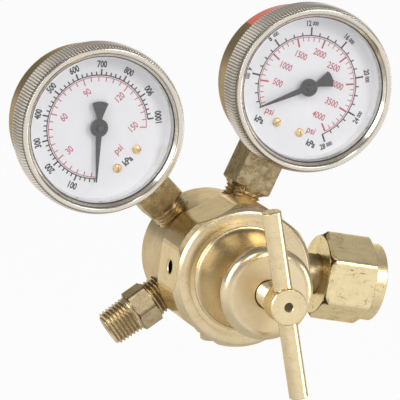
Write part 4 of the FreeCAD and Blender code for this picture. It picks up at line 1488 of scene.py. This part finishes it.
@dataclass
class Gauge:
    """One pressure gauge: case, bezel, socket, dial, marks, pointer and movement."""

    name: str
    axes: Axes
    black: Scale
    red: Scale
    words_black: list[Word]
    words_red: list[Word]
    zero: float = SCALE_ZERO
    pointer_zero: float = 225.0
    distance: float = 70.1
    case_r: float = 27.3
    flange_r: float = 29.22
    bezel_r: float = 30.4
    bezel_back_y: float = -10.0
    bezel_wide_y: float = -17.4
    bezel_front_y: float = -21.6
    bezel_front_r: float = 29.2
    bezel_flat: float = 1.8
    lip_r: float = 26.2
    lip_y: float = -19.4
    window_r: float = 27.02
    case_front_y: float = -16.2
    band_end_y: float = -20.35
    teeth: int = 170
    tooth_depth: float = 0.34
    corner_fade: float = 0.1
    tooth_fade: float = 0.4
    tooth_slope: float = 1.3
    tooth_flat: float = 0.15
    bezel_roll: Corner = (29.8, -20.0)
    socket_half: float = 7.15
    socket_shoulder: float = 27.0
    port_reach: float = 14.2
    pipe_r: float = 6.95
    dial_y: float = -13.0
    ink: float = 0.03
    ink_sink: float = 0.01
    arc_share: float = 0.42
    arc_steps: int = 120
    boldness: tuple[float, float] = (0.035, 0.012)
    block_half: Corner = (6.0, 5.0)
    block_top: float = -14.0
    pointer_y: float = -14.6
    pointer_thick: float = 0.5
    pointer_hub_r: float = 3.2
    cap_y: float = -16.9
    needle: tuple[Corner, ...] = ((19.5, 0.2), (14.0, 0.5))
    needle_half: float = 1.05
    hub_lap: float = 0.4
    waist_half: float = 0.85
    tail: tuple[float, float] = (9.4, 2.95)
    tail_corner: float = 0.9
    tail_swing: float = 0.9
    tail_bow: float = 0.7
    screws: tuple[Corner, ...] = ((-4.8, -16.0), (4.8, -16.0))
    screw_r: float = 1.6
    screw_edge: float = 0.12
    screw_side: float = 0.28
    screw_dome: float = 0.72
    shank_r: float = 0.8
    shank_y: float = -10.4
    slot_half: float = 0.34
    slot_depth: float = 0.5
    slot_fade: float = 0.1
    slot_turns: tuple[float, float] = (0.9, 2.2)

    @property
    def upright(self) -> Axes:
        """The gauge's axes with stations counted away from the regulator."""
        return Axes(self.axes.origin, self.axes.side, self.axes.axis, self.axes.rise)

    def node(self, piece: str) -> str:
        """The CAD node's name."""
        return f"{self.name}_{piece}"

    def bezel(self) -> Shell:
        """The bezel: a serrated band behind, and a smooth rolled front with a stepped lip.

        Returns:
            The closed shell.
        """
        wide = self.bezel_wide_y
        front = self.bezel_front_y
        roll = arc_through((self.bezel_r, wide), self.bezel_roll, (self.bezel_front_r, front), 9)
        band = [corner for corner in roll if corner[1] > self.band_end_y]
        edge_r = self.bezel_front_r + 0.2
        flat_r = self.bezel_front_r - self.bezel_flat
        profile = rounded([
            (self.flange_r, self.bezel_back_y), (self.bezel_r - 0.35, self.bezel_back_y, 0.1),
            (self.bezel_r, self.bezel_back_y - 0.35, 0.15), (self.bezel_r, wide), *band,
            (edge_r + 0.25, self.band_end_y), (edge_r - 0.1, self.band_end_y - 0.12),
            (edge_r - 0.1, self.band_end_y - 0.35), (edge_r + 0.02, self.band_end_y - 0.5),
            (self.bezel_front_r - 0.25, front, 0.3), (flat_r + 0.4, front, 0.3),
            (flat_r - 0.2, front + 0.5, 0.3), (self.lip_r + 0.15, self.lip_y - 0.5, 0.15),
            (self.lip_r, self.lip_y), (self.window_r, self.lip_y), (self.window_r, self.case_front_y),
            (self.flange_r, self.case_front_y)])
        profile = spaced(profile, self.band_end_y, self.bezel_back_y - 0.3, 0.5)

        def serrate(angle: Array, radius: Array, station: Array) -> tuple[Array, Array]:
            """Cut the band and the front corner by a rounded saw of `teeth` waves to the turn.

            The saw fades at both ends.

            Args:
                angle: The grid's angles, in radians.
                radius: Its radii.
                station: Its stations.

            Returns:
                The new radii, and the stations as they were.
            """
            wave = np.abs(2.0 * ((angle * self.teeth / TURN) % 1.0) - 1.0)
            fade = np.clip((station - front - self.corner_fade) / self.tooth_fade, 0.0, 1.0) * np.clip(
                (self.bezel_back_y - 0.1 - station) / self.tooth_fade, 0.0, 1.0)
            corner = (station < wide) & (radius > self.bezel_front_r - 0.5)
            shown = np.where((radius > self.flange_r + 0.3) | corner, fade, 0.0)
            tooth = np.clip(self.tooth_slope * wave - self.tooth_flat, 0.0, 1.0)
            return radius - self.tooth_depth * tooth * shown, station

        return turned(self.axes, profile, count=self.teeth * 6, shape=serrate)

    def socket(self) -> Shell:
        """The socket: a pipe thread and a square shank that runs into the case's wall.

        Returns:
            The closed shell.
        """
        shoulder = self.socket_shoulder - self.distance
        tip = self.port_reach - self.distance
        half = self.socket_half
        corner = half * math.sqrt(2.0)
        profile = rounded([
            (0.0, tip), (self.pipe_r - (shoulder - tip) * PIPE_TAPER, tip),
            (self.pipe_r - 0.08, shoulder - 0.2),
            (self.pipe_r - 0.08, shoulder), (half - 0.1, shoulder, 0.05),
            (corner, shoulder + (corner - half) * 0.5, 0.4), (corner, 1.0 - self.case_r),
            (0.0, 1.0 - self.case_r)], closed=False)
        thread = Thread(tip, shoulder + 0.2, floor=5.0, roof=self.pipe_r)
        flats = Flats(half, 4, 0.0, shoulder - 0.02, 0.0, blend=0.12)
        return turned(self.upright, thread.spread(profile), closed=False, count=192, shape=flats,
                      threads=[thread])

    def block(self) -> Shell:
        """The block inside the case that carries the tube and the movement.

        Returns:
            The closed shell.
        """
        corners = np.array([(-1.0, -1.0), (1.0, -1.0), (1.0, 1.0), (-1.0, 1.0)]) * self.block_half
        return slab(self.upright, corners, 0.8 - self.case_r, self.block_top)

    def marks(self, scale: Scale) -> Shell:
        """A scale's arc and its marks, as thin raised ink.

        Args:
            scale: The scale.

        Returns:
            One shell with all of them.
        """
        low, high = self.dial_y + self.ink_sink, self.dial_y - self.ink
        step = scale.small
        values = np.arange(step, scale.last + step / 2.0, step)
        large = np.abs(values / scale.large - np.round(values / scale.large)) < 1e-6
        angles = np.radians(self.zero - values * scale.degrees)
        outer = np.where(large, scale.large_r, scale.small_r)
        half = np.where(large, scale.large_width, scale.small_width) / 2.0
        ray = np.stack([np.cos(angles), np.sin(angles)], -1)
        side = np.stack([-np.sin(angles), np.cos(angles)], -1) * half[:, None]
        near, far = ray * scale.arc_r, ray * outer[:, None]
        corners = np.stack([near - side, far - side, far + side, near + side], 1)
        if np.mean(outer) < scale.arc_r:
            corners = corners[:, ::-1]
        start = math.radians(self.zero - scale.first * scale.degrees)
        end = math.radians(self.zero - scale.last * scale.degrees)
        sweep = np.linspace(end, start, self.arc_steps + 1)
        width = scale.small_width * self.arc_share
        ends = np.stack([np.cos(sweep), np.sin(sweep)], -1)
        inner, rim = ends * (scale.arc_r - width), ends * (scale.arc_r + width)
        pieces = np.stack([inner[:-1], rim[:-1], rim[1:], inner[1:]], 1)
        return bars(self.axes, corners, low, high) + bars(self.axes, pieces, low, high)

    def printed(self, words: list[Word], thick: float) -> Shell:
        """The words of one ink, as flat raised letters.

        Each letter's flat points are narrowed, turned about the word's middle and moved to its place,
        once for the top of the ink and once for its foot.

        Args:
            words: The words.
            thick: How much bolder they are than the font, as a share of its size.

        Returns:
            One shell with all the words.
        """
        parts = []
        for word in words:
            flat, faces = letters(word, thick)
            count = len(flat)
            middle = (flat[:, 1].min() + flat[:, 1].max()) / 2.0
            across, up = flat[:, 0] * word.narrow, flat[:, 1] - middle
            turn = math.radians(word.turn)
            right = word.across + across * math.cos(turn) - up * math.sin(turn)
            rise = word.up + across * math.sin(turn) + up * math.cos(turn)
            layers = [self.axes.place(right, rise, np.full(count, station))
                      for station in (self.dial_y - self.ink, self.dial_y + self.ink_sink)]
            under = [[index + count for index in face][::-1] for face in faces]
            walls = [[a + count, b + count, b, a] for a, b in outline_edges(faces)]
            parts.append(Shell(np.vstack(layers), faces + under + walls))
        return reduce(Shell.__add__, parts)

    def pointer(self) -> Shell:
        """The needle with its flared tail, and the turned cap over its hub.

        The outline runs from the tip along one side, round the tail and back along the other. The tail
        widens as a power of the way along it, and its end is the bow of a cosine.

        Returns:
            One shell with both.
        """
        along = math.radians(self.pointer_zero)
        reach, half = self.tail
        start = self.pointer_hub_r - self.hub_lap
        side = np.linspace(1.0, -1.0, 13)
        bow = (1.0 - np.cos(side * self.tail_swing)) / (1.0 - math.cos(self.tail_swing))
        tail_x = self.tail_corner * bow * self.tail_bow - reach
        flare = np.linspace(0.0, 1.0, 9)
        waist_x = (start - reach + self.tail_corner) * flare - start
        waist_y = self.waist_half + (half - self.waist_half) * flare ** 1.25
        upper = [*self.needle, (start, self.needle_half), (0.0, self.needle_half)]
        outline = upper + list(zip(waist_x, waist_y)) + list(zip(tail_x[1:-1], side[1:-1] * half))
        outline += [(x, -y) for x, y in zip(waist_x[::-1], waist_y[::-1])] + [(x, -y) for x, y in upper[::-1]]
        flat = np.array(outline)
        spun = np.stack([flat[:, 0] * math.cos(along) - flat[:, 1] * math.sin(along),
                         flat[:, 0] * math.sin(along) + flat[:, 1] * math.cos(along)], -1)
        front = self.pointer_y - self.pointer_thick
        needle = slab(self.axes, spun, self.pointer_y, front)
        hub = self.pointer_hub_r
        cap = rounded([(0.0, self.pointer_y), (hub, self.pointer_y), (hub, front - 0.3, 0.15),
                       (hub - 0.55, front - 0.75, 0.2), (hub - 0.9, front - 0.75, 0.1),
                       (hub - 1.15, front - 0.55, 0.1), (1.35, front - 0.65, 0.1), (0.95, self.cap_y, 0.2),
                       (0.0, self.cap_y)], closed=False)
        return needle + turned(self.axes, cap, closed=False, count=72)

    def dial_screws(self) -> Shell:
        """The two domed, slotted heads and their shanks.

        A dome falls away as a circle does, by the square root of 1 - (radius / head radius)^2.

        Returns:
            One shell with both.
        """
        rim_r = self.screw_r - self.screw_edge
        radii = np.linspace(rim_r, 0.0, 15)[1:]
        rises = self.screw_side + self.screw_dome * np.sqrt(
            np.maximum(0.0, 1.0 - (radii / self.screw_r) ** 2))
        profile = np.array([
            (0.0, self.shank_y), (self.shank_r, self.shank_y), (self.shank_r, self.dial_y),
            (self.screw_r, self.dial_y), (self.screw_r, self.dial_y - 0.25), (rim_r, self.dial_y - 0.45),
            *zip(radii, self.dial_y - rises)])
        parts = []
        for (across, up), slot_turn in zip(self.screws, self.slot_turns):
            centre = self.axes.place(np.array(across), np.array(up), np.array(0.0)) / MM
            axes = Axes(centre, self.axes.side, self.axes.rise, self.axes.axis)

            def slotted(angle: Array, radius: Array, station: Array) -> tuple[Array, Array]:
                """Sink the head along the slot's line.

                Args:
                    angle: The grid's angles, in radians.
                    radius: Its radii.
                    station: Its stations.

                Returns:
                    The radii as they were, and the new stations.
                """
                off = np.abs(radius * np.sin(angle - slot_turn))
                sink = self.slot_depth * np.clip((self.slot_half - off) / self.slot_fade, 0.0, 1.0)
                return radius, np.where(station < self.dial_y - 0.3, station + sink, station)

            parts.append(turned(axes, profile, closed=False, count=72, shape=slotted))
        return reduce(Shell.__add__, parts)

    def put(self, shell: Shell, piece: str, material: bpy.types.Material,
            stands_for: str = "", body: str = "regulator", soft: bool = True) -> None:
        """Place one of the gauge's pieces.

        Args:
            shell: Its shape.
            piece: Its name without the gauge's.
            material: Its material.
            stands_for: The CAD node that it replaces, without the gauge's name, or an empty string.
            body: The CAD body it moves with.
            soft: Whether faces that meet gently are shaded as one curve.
        """
        nodes = [self.node(stands_for)] if stands_for else []
        place_piece(shell.named(self.node(piece), soft), body, material, nodes)

    def build(self) -> None:
        """Make and dress every piece of the gauge."""
        self.put(self.bezel(), "serrated_bezel", BEZEL_PLATE.material(self.axes), "bezel")
        self.put(self.socket() + self.block(), "threaded_socket", SOCKET_BRASS.material(self.upright),
                 "socket")
        inner, front = self.lip_r - 0.02, self.lip_y - 0.02
        gasket = turned(self.axes, np.array([(26.0, front), (inner, front), (inner, front - 0.4)]), count=192)
        self.put(gasket, "gasket", GASKET_BLACK.material())
        inks = (("black", INK_BLACK), ("red", INK_RED))
        for (colour, ink), scale in zip(inks, (self.black, self.red)):
            self.put(self.marks(scale), f"scale_{colour}", ink.material(), soft=False)
        for (colour, ink), words, thick in zip(inks, (self.words_black, self.words_red), self.boldness):
            self.put(self.printed(words, thick), f"numbers_{colour}", ink.material(), soft=False)
        self.put(self.pointer(), "needle", POINTER_GREY.material(), "pointer",
                 body=f"{self.name}_needle")
        self.put(self.dial_screws(), "slotted_screws", SCREW_BRASS.material(), "dial_screws")
        dress(NODES[self.node("case")], GAUGE_BRASS.material(self.axes))
        dress(NODES[self.node("window")], WindowFinish().material(self.axes))
        dress(NODES[self.node("dial")], DIAL_WHITE.material())
        dress(NODES[self.node("spacer_ring")], SPACER_GREY.material())
        for piece in ("back_plate", "front_plate", "pillars", "pinion", "sector", "link"):
            dress(NODES[self.node(piece)], MOVEMENT_BRASS.material())
        for piece in ("tube", "tube_tip"):
            dress(NODES[self.node(piece)], TUBE_BRONZE.material())


def letters(word: Word, thick: float) -> tuple[Array, list[list[int]]]:
    """A word's letters as flat faces, from Blender's own font.

    Args:
        word: The word.
        thick: How much bolder it is than the font, as a share of its size.

    Returns:
        The points, one row each, and the faces.
    """
    curve = bpy.data.curves.new("word", "FONT")
    curve.body = word.text
    curve.size = word.height / CAPITAL_SHARE
    curve.align_x = "CENTER"
    curve.offset = thick * curve.size
    curve.resolution_u = LETTER_STEPS
    holder = bpy.data.objects.new("word", curve)
    bpy.context.scene.collection.objects.link(holder)
    mesh = bpy.data.meshes.new_from_object(holder.evaluated_get(bpy.context.evaluated_depsgraph_get()))
    flat = np.empty(len(mesh.vertices) * 3)
    mesh.vertices.foreach_get("co", flat)
    faces = [list(face.vertices) for face in mesh.polygons]
    bpy.data.objects.remove(holder)
    bpy.data.curves.remove(curve)
    bpy.data.meshes.remove(mesh)
    return flat.reshape(-1, 3), faces


def outline_edges(faces: list[list[int]]) -> list[tuple[int, int]]:
    """The edges that only one face has, in that face's order.

    Args:
        faces: The faces, as lists of point numbers.

    Returns:
        Pairs of point numbers.
    """
    seen: dict[tuple[int, int], int] = {}
    for face in faces:
        for first, second in zip(face, face[1:] + face[:1]):
            key = (min(first, second), max(first, second))
            seen[key] = seen.get(key, 0) + 1
    return [(first, second) for face in faces for first, second in zip(face, face[1:] + face[:1])
            if seen[(min(first, second), max(first, second))] == 1]


def curved_words(values: Sequence[tuple[str, float]], zero: float, radius: float, height: float,
                 narrow: float = 0.74, shift: float = 0.0) -> list[Word]:
    """Numbers set round a dial, their tops outwards above the middle and inwards below it.

    Args:
        values: Each text with its angle from the zero mark, in degrees.
        zero: The zero mark's angle.
        radius: The radius of the numbers' middles.
        height: The height of a figure.
        narrow: The width of the figures against the font's own.
        shift: How far to slide each along its arc, in millimetres.

    Returns:
        The words.
    """
    words = []
    for text, turn in values:
        angle = (zero - turn) % 360.0
        above = 0.0 <= angle < 180.0
        slide = math.degrees(shift / radius) * (-1.0 if above else 1.0)
        place = math.radians(angle + slide)
        facing = angle + slide + (-90.0 if above else 90.0)
        words.append(Word(text, radius * math.cos(place), radius * math.sin(place), facing, height, narrow))
    return words


def level_words(values: Sequence[tuple[str, float]], zero: float, radius: float, pull: float,
                height: float) -> list[Word]:
    """Numbers that stand level on the dial, nearer the middle the more they lie to a side.

    Args:
        values: Each text with its angle from the zero mark, in degrees.
        zero: The zero mark's angle.
        radius: The radius of the numbers' middles, at the top.
        pull: How much nearer the middle they are at a side.
        height: The height of a figure.

    Returns:
        The words.
    """
    words = []
    for text, turn in values:
        angle = math.radians(zero - turn)
        reach = radius - pull * abs(math.cos(angle))
        words.append(Word(text, reach * math.cos(angle), reach * math.sin(angle), 0.0, height))
    return words


def gauge_axes(name: str, middle: Axes) -> Axes:
    """The axes of a gauge: origin at its centre, `rise` away from the regulator, stations along +Y.

    Args:
        name: The gauge's name.
        middle: The regulator's axes.

    Returns:
        The axes.
    """
    centre = np.array(JOINTS[f"{name}_needle_turn"]["pos_m"]) / MM
    away = centre - middle.origin
    away[1] = 0.0
    away = away / np.linalg.norm(away)
    return Axes(centre, np.cross(ALONG_Y, away), away, ALONG_Y)


def delivery_gauge(middle: Axes) -> Gauge:
    """The left gauge: 0 to 1000 kPa outside, 0 to 150 psi inside.

    Args:
        middle: The regulator's axes.

    Returns:
        The gauge.
    """
    psi = SCALE_SWEEP / 150.0
    kpa = psi * PSI_IN_KPA
    black = Scale(kpa, small=20.0, large=100.0, last=1000.0, arc_r=18.5, small_r=19.75, large_r=20.65,
                  small_width=0.46, large_width=0.56, first=14.0)
    red = Scale(psi, small=5.0, large=30.0, last=150.0, arc_r=17.9, small_r=16.35, large_r=15.55,
                small_width=0.32, large_width=0.38, first=2.0)
    outer = curved_words([(str(value), value * kpa) for value in range(100, 1001, 100)],
                         SCALE_ZERO, radius=22.4, height=2.25)
    outer.append(Word("kPa", -0.3, -16.7, 0.0, 2.3, 0.8))
    inner = level_words([(str(value), value * psi) for value in range(30, 151, 30)],
                        SCALE_ZERO, radius=13.1, pull=0.2, height=2.4)
    inner.append(Word("psi", 0.0, -11.7, 0.0, 2.4, 0.9))
    return Gauge("delivery", gauge_axes("delivery", middle), black, red, outer, inner)


def contents_gauge(middle: Axes) -> Gauge:
    """The right gauge: 0 to 28000 kPa outside, 0 to 4000 psi inside.

    Args:
        middle: The regulator's axes.

    Returns:
        The gauge.
    """
    kpa = SCALE_SWEEP / 28000.0
    psi = kpa * KPA_IN_PSI
    black = Scale(kpa, small=1000.0, large=4000.0, last=28000.0, arc_r=18.5, small_r=19.7, large_r=21.5,
                  small_width=0.44, large_width=0.60, first=400.0)
    red = Scale(psi, small=100.0, large=500.0, last=4000.0, arc_r=17.9, small_r=16.4, large_r=14.7,
                small_width=0.28, large_width=0.60, first=40.0)
    whole = range(4000, 28001, 4000)
    outer = curved_words([(str(value // 1000), value * kpa) for value in whole],
                         SCALE_ZERO, radius=22.9, height=1.9, shift=-1.3)
    outer += curved_words([("000", value * kpa) for value in whole],
                          SCALE_ZERO, radius=22.9, height=1.4, shift=1.3)
    outer += [Word("kPa", -11.3, -17.8, 0.0, 2.2, 0.8), Word("kPa", 10.6, -17.9, 0.0, 2.2, 0.8)]
    inner = level_words([(str(value), value * psi) for value in range(500, 4001, 500)],
                        SCALE_ZERO, radius=12.9, pull=1.7, height=2.35)
    inner += [Word("psi", -9.0, -13.9, 0.0, 2.4, 0.9), Word("psi", 8.6, -14.0, 0.0, 2.4, 0.9)]
    return Gauge("contents", gauge_axes("contents", middle), black, red, outer, inner)


def red_band(gauge: Gauge, outer_r: float = 27.42, inner_r: float = 27.2, count: int = 49) -> None:
    """The blank red band stuck round part of the right gauge's case, as a thin curved strip.

    Its outline runs out along one arc and back along the other.

    Args:
        gauge: The gauge.
        outer_r: The band's outer radius.
        inner_r: Its inner radius.
        count: Points on each arc.
    """
    angles = np.linspace(math.radians(116.0), math.radians(155.0), count)
    ray = np.stack([np.cos(angles), np.sin(angles)], -1)
    strip = slab(gauge.axes, np.concatenate([outer_r * ray, inner_r * ray[::-1]]), 5.0, -9.9)
    place_piece(strip.named("contents_band"), "regulator", BAND_RED.material())


# Pieces kept from CAD, and springs.


@dataclass
class CoilSpring:
    """A wire spring with closed ends.

    The stations of its ends are read from the CAD node that it stands for.
    """

    node: str
    axes: Axes
    mean_r: float
    wire_r: float
    turns: float
    body: str
    lap: float = 2.1
    steps: int = 40
    sides: int = 12

    def reach(self) -> tuple[float, float]:
        """The stations of the first and the last point of the wire's middle line.

        Returns:
            The low and the high station.
        """
        mesh = NODES[self.node].data
        flat = np.empty(len(mesh.vertices) * 3)
        mesh.vertices.foreach_get("co", flat)
        stations = (flat.reshape(-1, 3) / MM - self.axes.origin) @ self.axes.axis
        return float(stations.min()) + self.wire_r, float(stations.max()) - self.wire_r

    def wire(self) -> Shell:
        """The wire: a circle carried along a helix whose first and last turns lie closed.

        At the turn t the middle line is at the angle 2 pi t, and its station runs straight from the low
        end over `lap` radii of the wire in the first turn, evenly in between, and as far in the last.
        The circle is spanned by the way out and by what is square to it and to the line's heading.

        Returns:
            The closed shell.
        """
        low, high = self.reach()
        closed = self.lap * self.wire_r
        turn = np.linspace(0.0, self.turns, int(self.turns * self.steps) + 1)
        station = np.interp(turn, [0.0, 1.0, self.turns - 1.0, self.turns],
                            [low, low + closed, high - closed, high])
        angle = TURN * turn
        climb = np.gradient(station, angle)
        out = np.stack([np.cos(angle), np.sin(angle), np.zeros_like(angle)], 1)
        heading = np.stack([-self.mean_r * np.sin(angle), self.mean_r * np.cos(angle), climb], 1)
        heading /= np.linalg.norm(heading, axis=1)[:, None]
        square = np.cross(out, heading)
        line = out * self.mean_r + np.outer(station, (0.0, 0.0, 1.0))
        around = np.arange(self.sides) * (TURN / self.sides)
        rings = (line[:, None] + self.wire_r * (np.cos(around)[None, :, None] * out[:, None]
                                                + np.sin(around)[None, :, None] * square[:, None]))
        points = self.axes.place(*rings.reshape(-1, 3).T)
        row = np.arange(len(turn) - 1)[:, None] * self.sides
        column = np.arange(self.sides)[None, :]
        after = (column + 1) % self.sides
        quads = np.stack([row + column, row + self.sides + column, row + self.sides + after, row + after], -1)
        ring = list(range(self.sides))
        last = [index + (len(turn) - 1) * self.sides for index in ring]
        faces = [*quads.reshape(-1, 4).tolist(), ring, last[::-1]]
        return Shell(points, [face[::-1] for face in faces] if self.axes.mirrored else faces)

    def build(self, material: bpy.types.Material) -> None:
        """Make the spring, dress it, and hide the CAD node that it stands for.

        Args:
            material: Its material.
        """
        piece = self.wire().named(f"coiled_{self.node}")
        low, high = (tuple((self.axes.origin + self.axes.axis * end) * MM) for end in self.reach())
        dress(piece, material)
        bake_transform(piece)
        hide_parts(self.node)
        log.info("%s: %d faces between regulator and %s", piece.name, len(piece.data.polygons), self.body)


def dress_inside(middle: Axes) -> None:
    """Dress the CAD pieces that keep their own shape, and make the springs.

    Args:
        middle: The regulator's axes.
    """
    dress(NODES["regulator_body"], BODY_BRASS.material(middle))
    for node in ("relief_body", "relief_plug"):
        dress(NODES[node], OUTLET_BRASS.material())
    for node in ("spring_button", "valve_nozzle", "valve_poppet", "relief_poppet"):
        dress(NODES[node], INNER_BRASS.material(middle))
    relief = ray_axes(middle, RELIEF_ANGLE)
    for spring in (
            CoilSpring("pressure_spring", middle, mean_r=10.2, wire_r=1.3, turns=5.5, body="button"),
            CoilSpring("poppet_spring", middle, mean_r=3.6, wire_r=0.5, turns=4.0, body="valve"),
            CoilSpring("relief_spring", relief, mean_r=2.3, wire_r=0.3, turns=4.0, body="relief_valve")):
        spring.build(SPRING_STEEL.material())
    for node, finish in (("diaphragm_plate", PLATE_STEEL), ("diaphragm", RUBBER),
                         ("slip_ring", RING_PLASTIC), ("valve_seat", SEAT_PLASTIC),
                         ("inlet_washer", WASHER_FIBRE), ("inlet_filter", FILTER_BRONZE)):
        dress(NODES[node], finish.material())


# Studio.


@dataclass
class Camera:
    """The photograph's camera, given about the regulator's axis.

    Lengths are in millimetres, angles in degrees, and the scale in pixels to a millimetre at the
    axis for an image 400 pixels wide.
    """

    middle: Axes
    azimuth: float = -19.5
    elevation: float = 7.75
    roll: float = 11.2
    scale: float = 2.765
    distance: float = 1300.0
    shift: tuple[float, float] = (-4.48, 20.41)
    image: float = 400.0

    def directions(self) -> tuple[Array, Array, Array]:
        """The camera's right, up and backward directions.

        Returns:
            Three unit directions.
        """
        turn, lift, roll = (math.radians(value) for value in (self.azimuth, self.elevation, self.roll))
        right = np.array([math.cos(turn), math.sin(turn), 0.0])
        back = np.array([math.sin(turn) * math.cos(lift), -math.cos(turn) * math.cos(lift), math.sin(lift)])
        up = np.cross(back, right)
        return (math.cos(roll) * right + math.sin(roll) * up,
                math.cos(roll) * up - math.sin(roll) * right, back)

    def build(self) -> None:
        """Make the camera and set it as the scene's."""
        right, up, back = self.directions()
        spot = self.middle.origin + right * self.shift[0] + up * self.shift[1] + back * self.distance
        data = bpy.data.cameras.new("camera")
        data.sensor_width = 36.0
        data.lens = self.scale * self.distance * data.sensor_width / self.image
        data.clip_start, data.clip_end = 0.05, 60.0
        camera = bpy.data.objects.new("camera", data)
        bpy.context.scene.collection.objects.link(camera)
        camera.matrix_world = placing(right, up, back, spot * MM)
        bpy.context.scene.camera = camera


@dataclass(frozen=True)
class Softbox:
    """A large soft lamp, given by the direction it stands in, its distance, sides and brightness.

    Lengths are in metres, and the brightness is the radiance of its face.
    """

    name: str
    toward: Direction
    width: float
    height: float
    brightness: float
    distance: float = 1.9

    def build(self, centre: Array) -> None:
        """Make the lamp, facing the object's middle. Its power is brightness times pi times its area.

        Args:
            centre: The object's middle.
        """
        toward = np.array(self.toward) / np.linalg.norm(self.toward)
        data = bpy.data.lights.new(self.name, "AREA")
        data.shape = "RECTANGLE"
        data.size, data.size_y = self.width, self.height
        data.energy = self.brightness * math.pi * self.width * self.height
        side = np.cross([0.0, 0.0, 1.0], toward)
        side = side / np.linalg.norm(side)
        lamp = bpy.data.objects.new(self.name, data)
        bpy.context.scene.collection.objects.link(lamp)
        lamp.matrix_world = placing(side, np.cross(toward, side), toward, centre + toward * self.distance)


@dataclass
class Studio:
    """The pale floor, the room and the soft lamps.

    The room's levels are those of its world: how bright it is all round, in front, and on the panel to
    the right, and how much the front and the panel lose higher up.
    """

    centre: Array
    drop: float = 0.12
    reach: float = 40.0
    floor_tint: Colour = tint(0.86, 0.86, 0.86)
    seen_share: float = 0.95
    near: tuple[float, float] = (0.08, 0.42)
    near_share: float = 0.18
    far_share: float = 0.74
    white: float = 0.97
    heights: tuple[tuple[float, float], ...] = (
        (0.0, 0.9), (0.40, 1.0), (0.5, 1.0), (0.64, 0.98), (0.80, 0.78), (1.0, 0.5))
    all_round: float = 0.36
    in_front: tuple[float, float] = (0.66, 0.46)
    on_panel: tuple[float, float] = (0.92, 0.42)
    boxes: tuple[Softbox, ...] = (
        Softbox("left", (-0.88, -0.20, 0.28), 1.0, 1.3, 4.5),
        Softbox("front", (0.31, -0.82, 0.48), 0.5, 0.85, 7.5),
        Softbox("fill", (-0.30, -0.62, 0.72), 0.7, 0.5, 4.0),
        Softbox("right", (0.92, -0.30, 0.15), 0.75, 1.0, 3.4))

    def floor(self) -> None:
        """The floor: white to the camera and in reflections, yet shaded where the object's shadow falls.

        Reflections and clear pieces show it as white only away from the object; nearer it the white fades
        to the lit floor, a painted shadow round the object's foot on top of its real one. From below it is
        clear, so that the object can be seen from there.
        """
        low, far = CAD_BOX[0].z - self.drop, self.reach
        corners = np.array([(-far, -far, low), (far, -far, low), (far, far, low), (-far, far, low)])
        floor = Shell(corners, [[0, 1, 2, 3]]).named("floor", soft=False)
        coat = Coat("floor")
        matt = coat.add("ShaderNodeBsdfDiffuse", None, {"Color": self.floor_tint})
        glow = coat.add("ShaderNodeEmission", None, {"Color": (1.0, 1.0, 1.0), "Strength": 1.0})
        under = coat.vector("SUBTRACT", coat.where(), tuple(self.centre * (1.0, 1.0, 0.0) + (0.0, 0.0, low)))
        # Painted shadow: the white that reflections see fades near the object's foot, leaving the lit floor
        # with its real shadow.
        glow_outside_painted_shadow = coat.length(under).between(*self.near) * self.far_share + self.near_share
        seen = coat.ray("Is Camera Ray") * self.seen_share
        for kind in ("Is Glossy Ray", "Is Transmission Ray"):
            seen = seen.most(coat.ray(kind) * glow_outside_painted_shadow)
        lit = coat.add("ShaderNodeMixShader", None, {0: seen, 1: matt, 2: glow})
        below = coat.add("ShaderNodeNewGeometry", out="Backfacing")
        clear = coat.add("ShaderNodeBsdfTransparent")
        dress(floor, coat.close(coat.add("ShaderNodeMixShader", None, {0: below, 1: lit, 2: clear})))

    def room(self) -> None:
        """The room: bright at eye level, darker overhead and underfoot, and white to the camera."""
        world = bpy.data.worlds.new("room")
        bpy.context.scene.world = world
        world.use_nodes = True
        room = Wiring(world.node_tree)
        toward = room.add("ShaderNodeTexCoord", out="Generated")
        across, along, up = (room.add("ShaderNodeSeparateXYZ", None, {0: toward}, name) for name in "XYZ")
        ramp = room.add("ShaderNodeValToRGB", {"stops": self.heights}, {0: up * 0.5 + 0.5})
        front = 1.0 - along.between(-0.6, 0.4)
        panel = (across.between(-0.14, 0.16) - across.between(0.5, 0.75)) * (1.0 - front)
        level = (front * (self.in_front[0] - up.between(0.0, 0.14) * self.in_front[1])
                 + panel * (self.on_panel[0] - up.between(0.35, 0.6) * self.on_panel[1]) + self.all_round)
        seen = room.ray("Is Camera Ray")
        back = room.add("ShaderNodeBackground", None, {
            0: ramp * (1.0 - seen) + seen, 1: level * (1.0 - seen) + seen * self.white})
        room.add("ShaderNodeOutputWorld", None, {"Surface": back})

    def build(self) -> None:
        """Make the whole studio and set the plain view transform."""
        self.floor()
        self.room()
        for box in self.boxes:
            box.build(self.centre)
        bpy.context.scene.view_settings.view_transform = "Standard"


def main() -> None:
    """Build every piece, then the studio."""
    logging.basicConfig(level=logging.INFO, format="%(name)s: %(message)s")
    middle = regulator_axes()
    SpringCase(middle).build()
    AdjustingHandle(middle).build()
    InletFitting(inlet_axes(middle)).build()
    OutletFitting(ray_axes(middle, OUTLET_ANGLE)).build()
    delivery_gauge(middle).build()
    contents = contents_gauge(middle)
    contents.build()
    red_band(contents)
    dress_inside(middle)
    Camera(middle).build()
    Studio((np.array(CAD_BOX[0]) + np.array(CAD_BOX[1])) / 2.0).build()


if __name__ == "__main__":
    main()
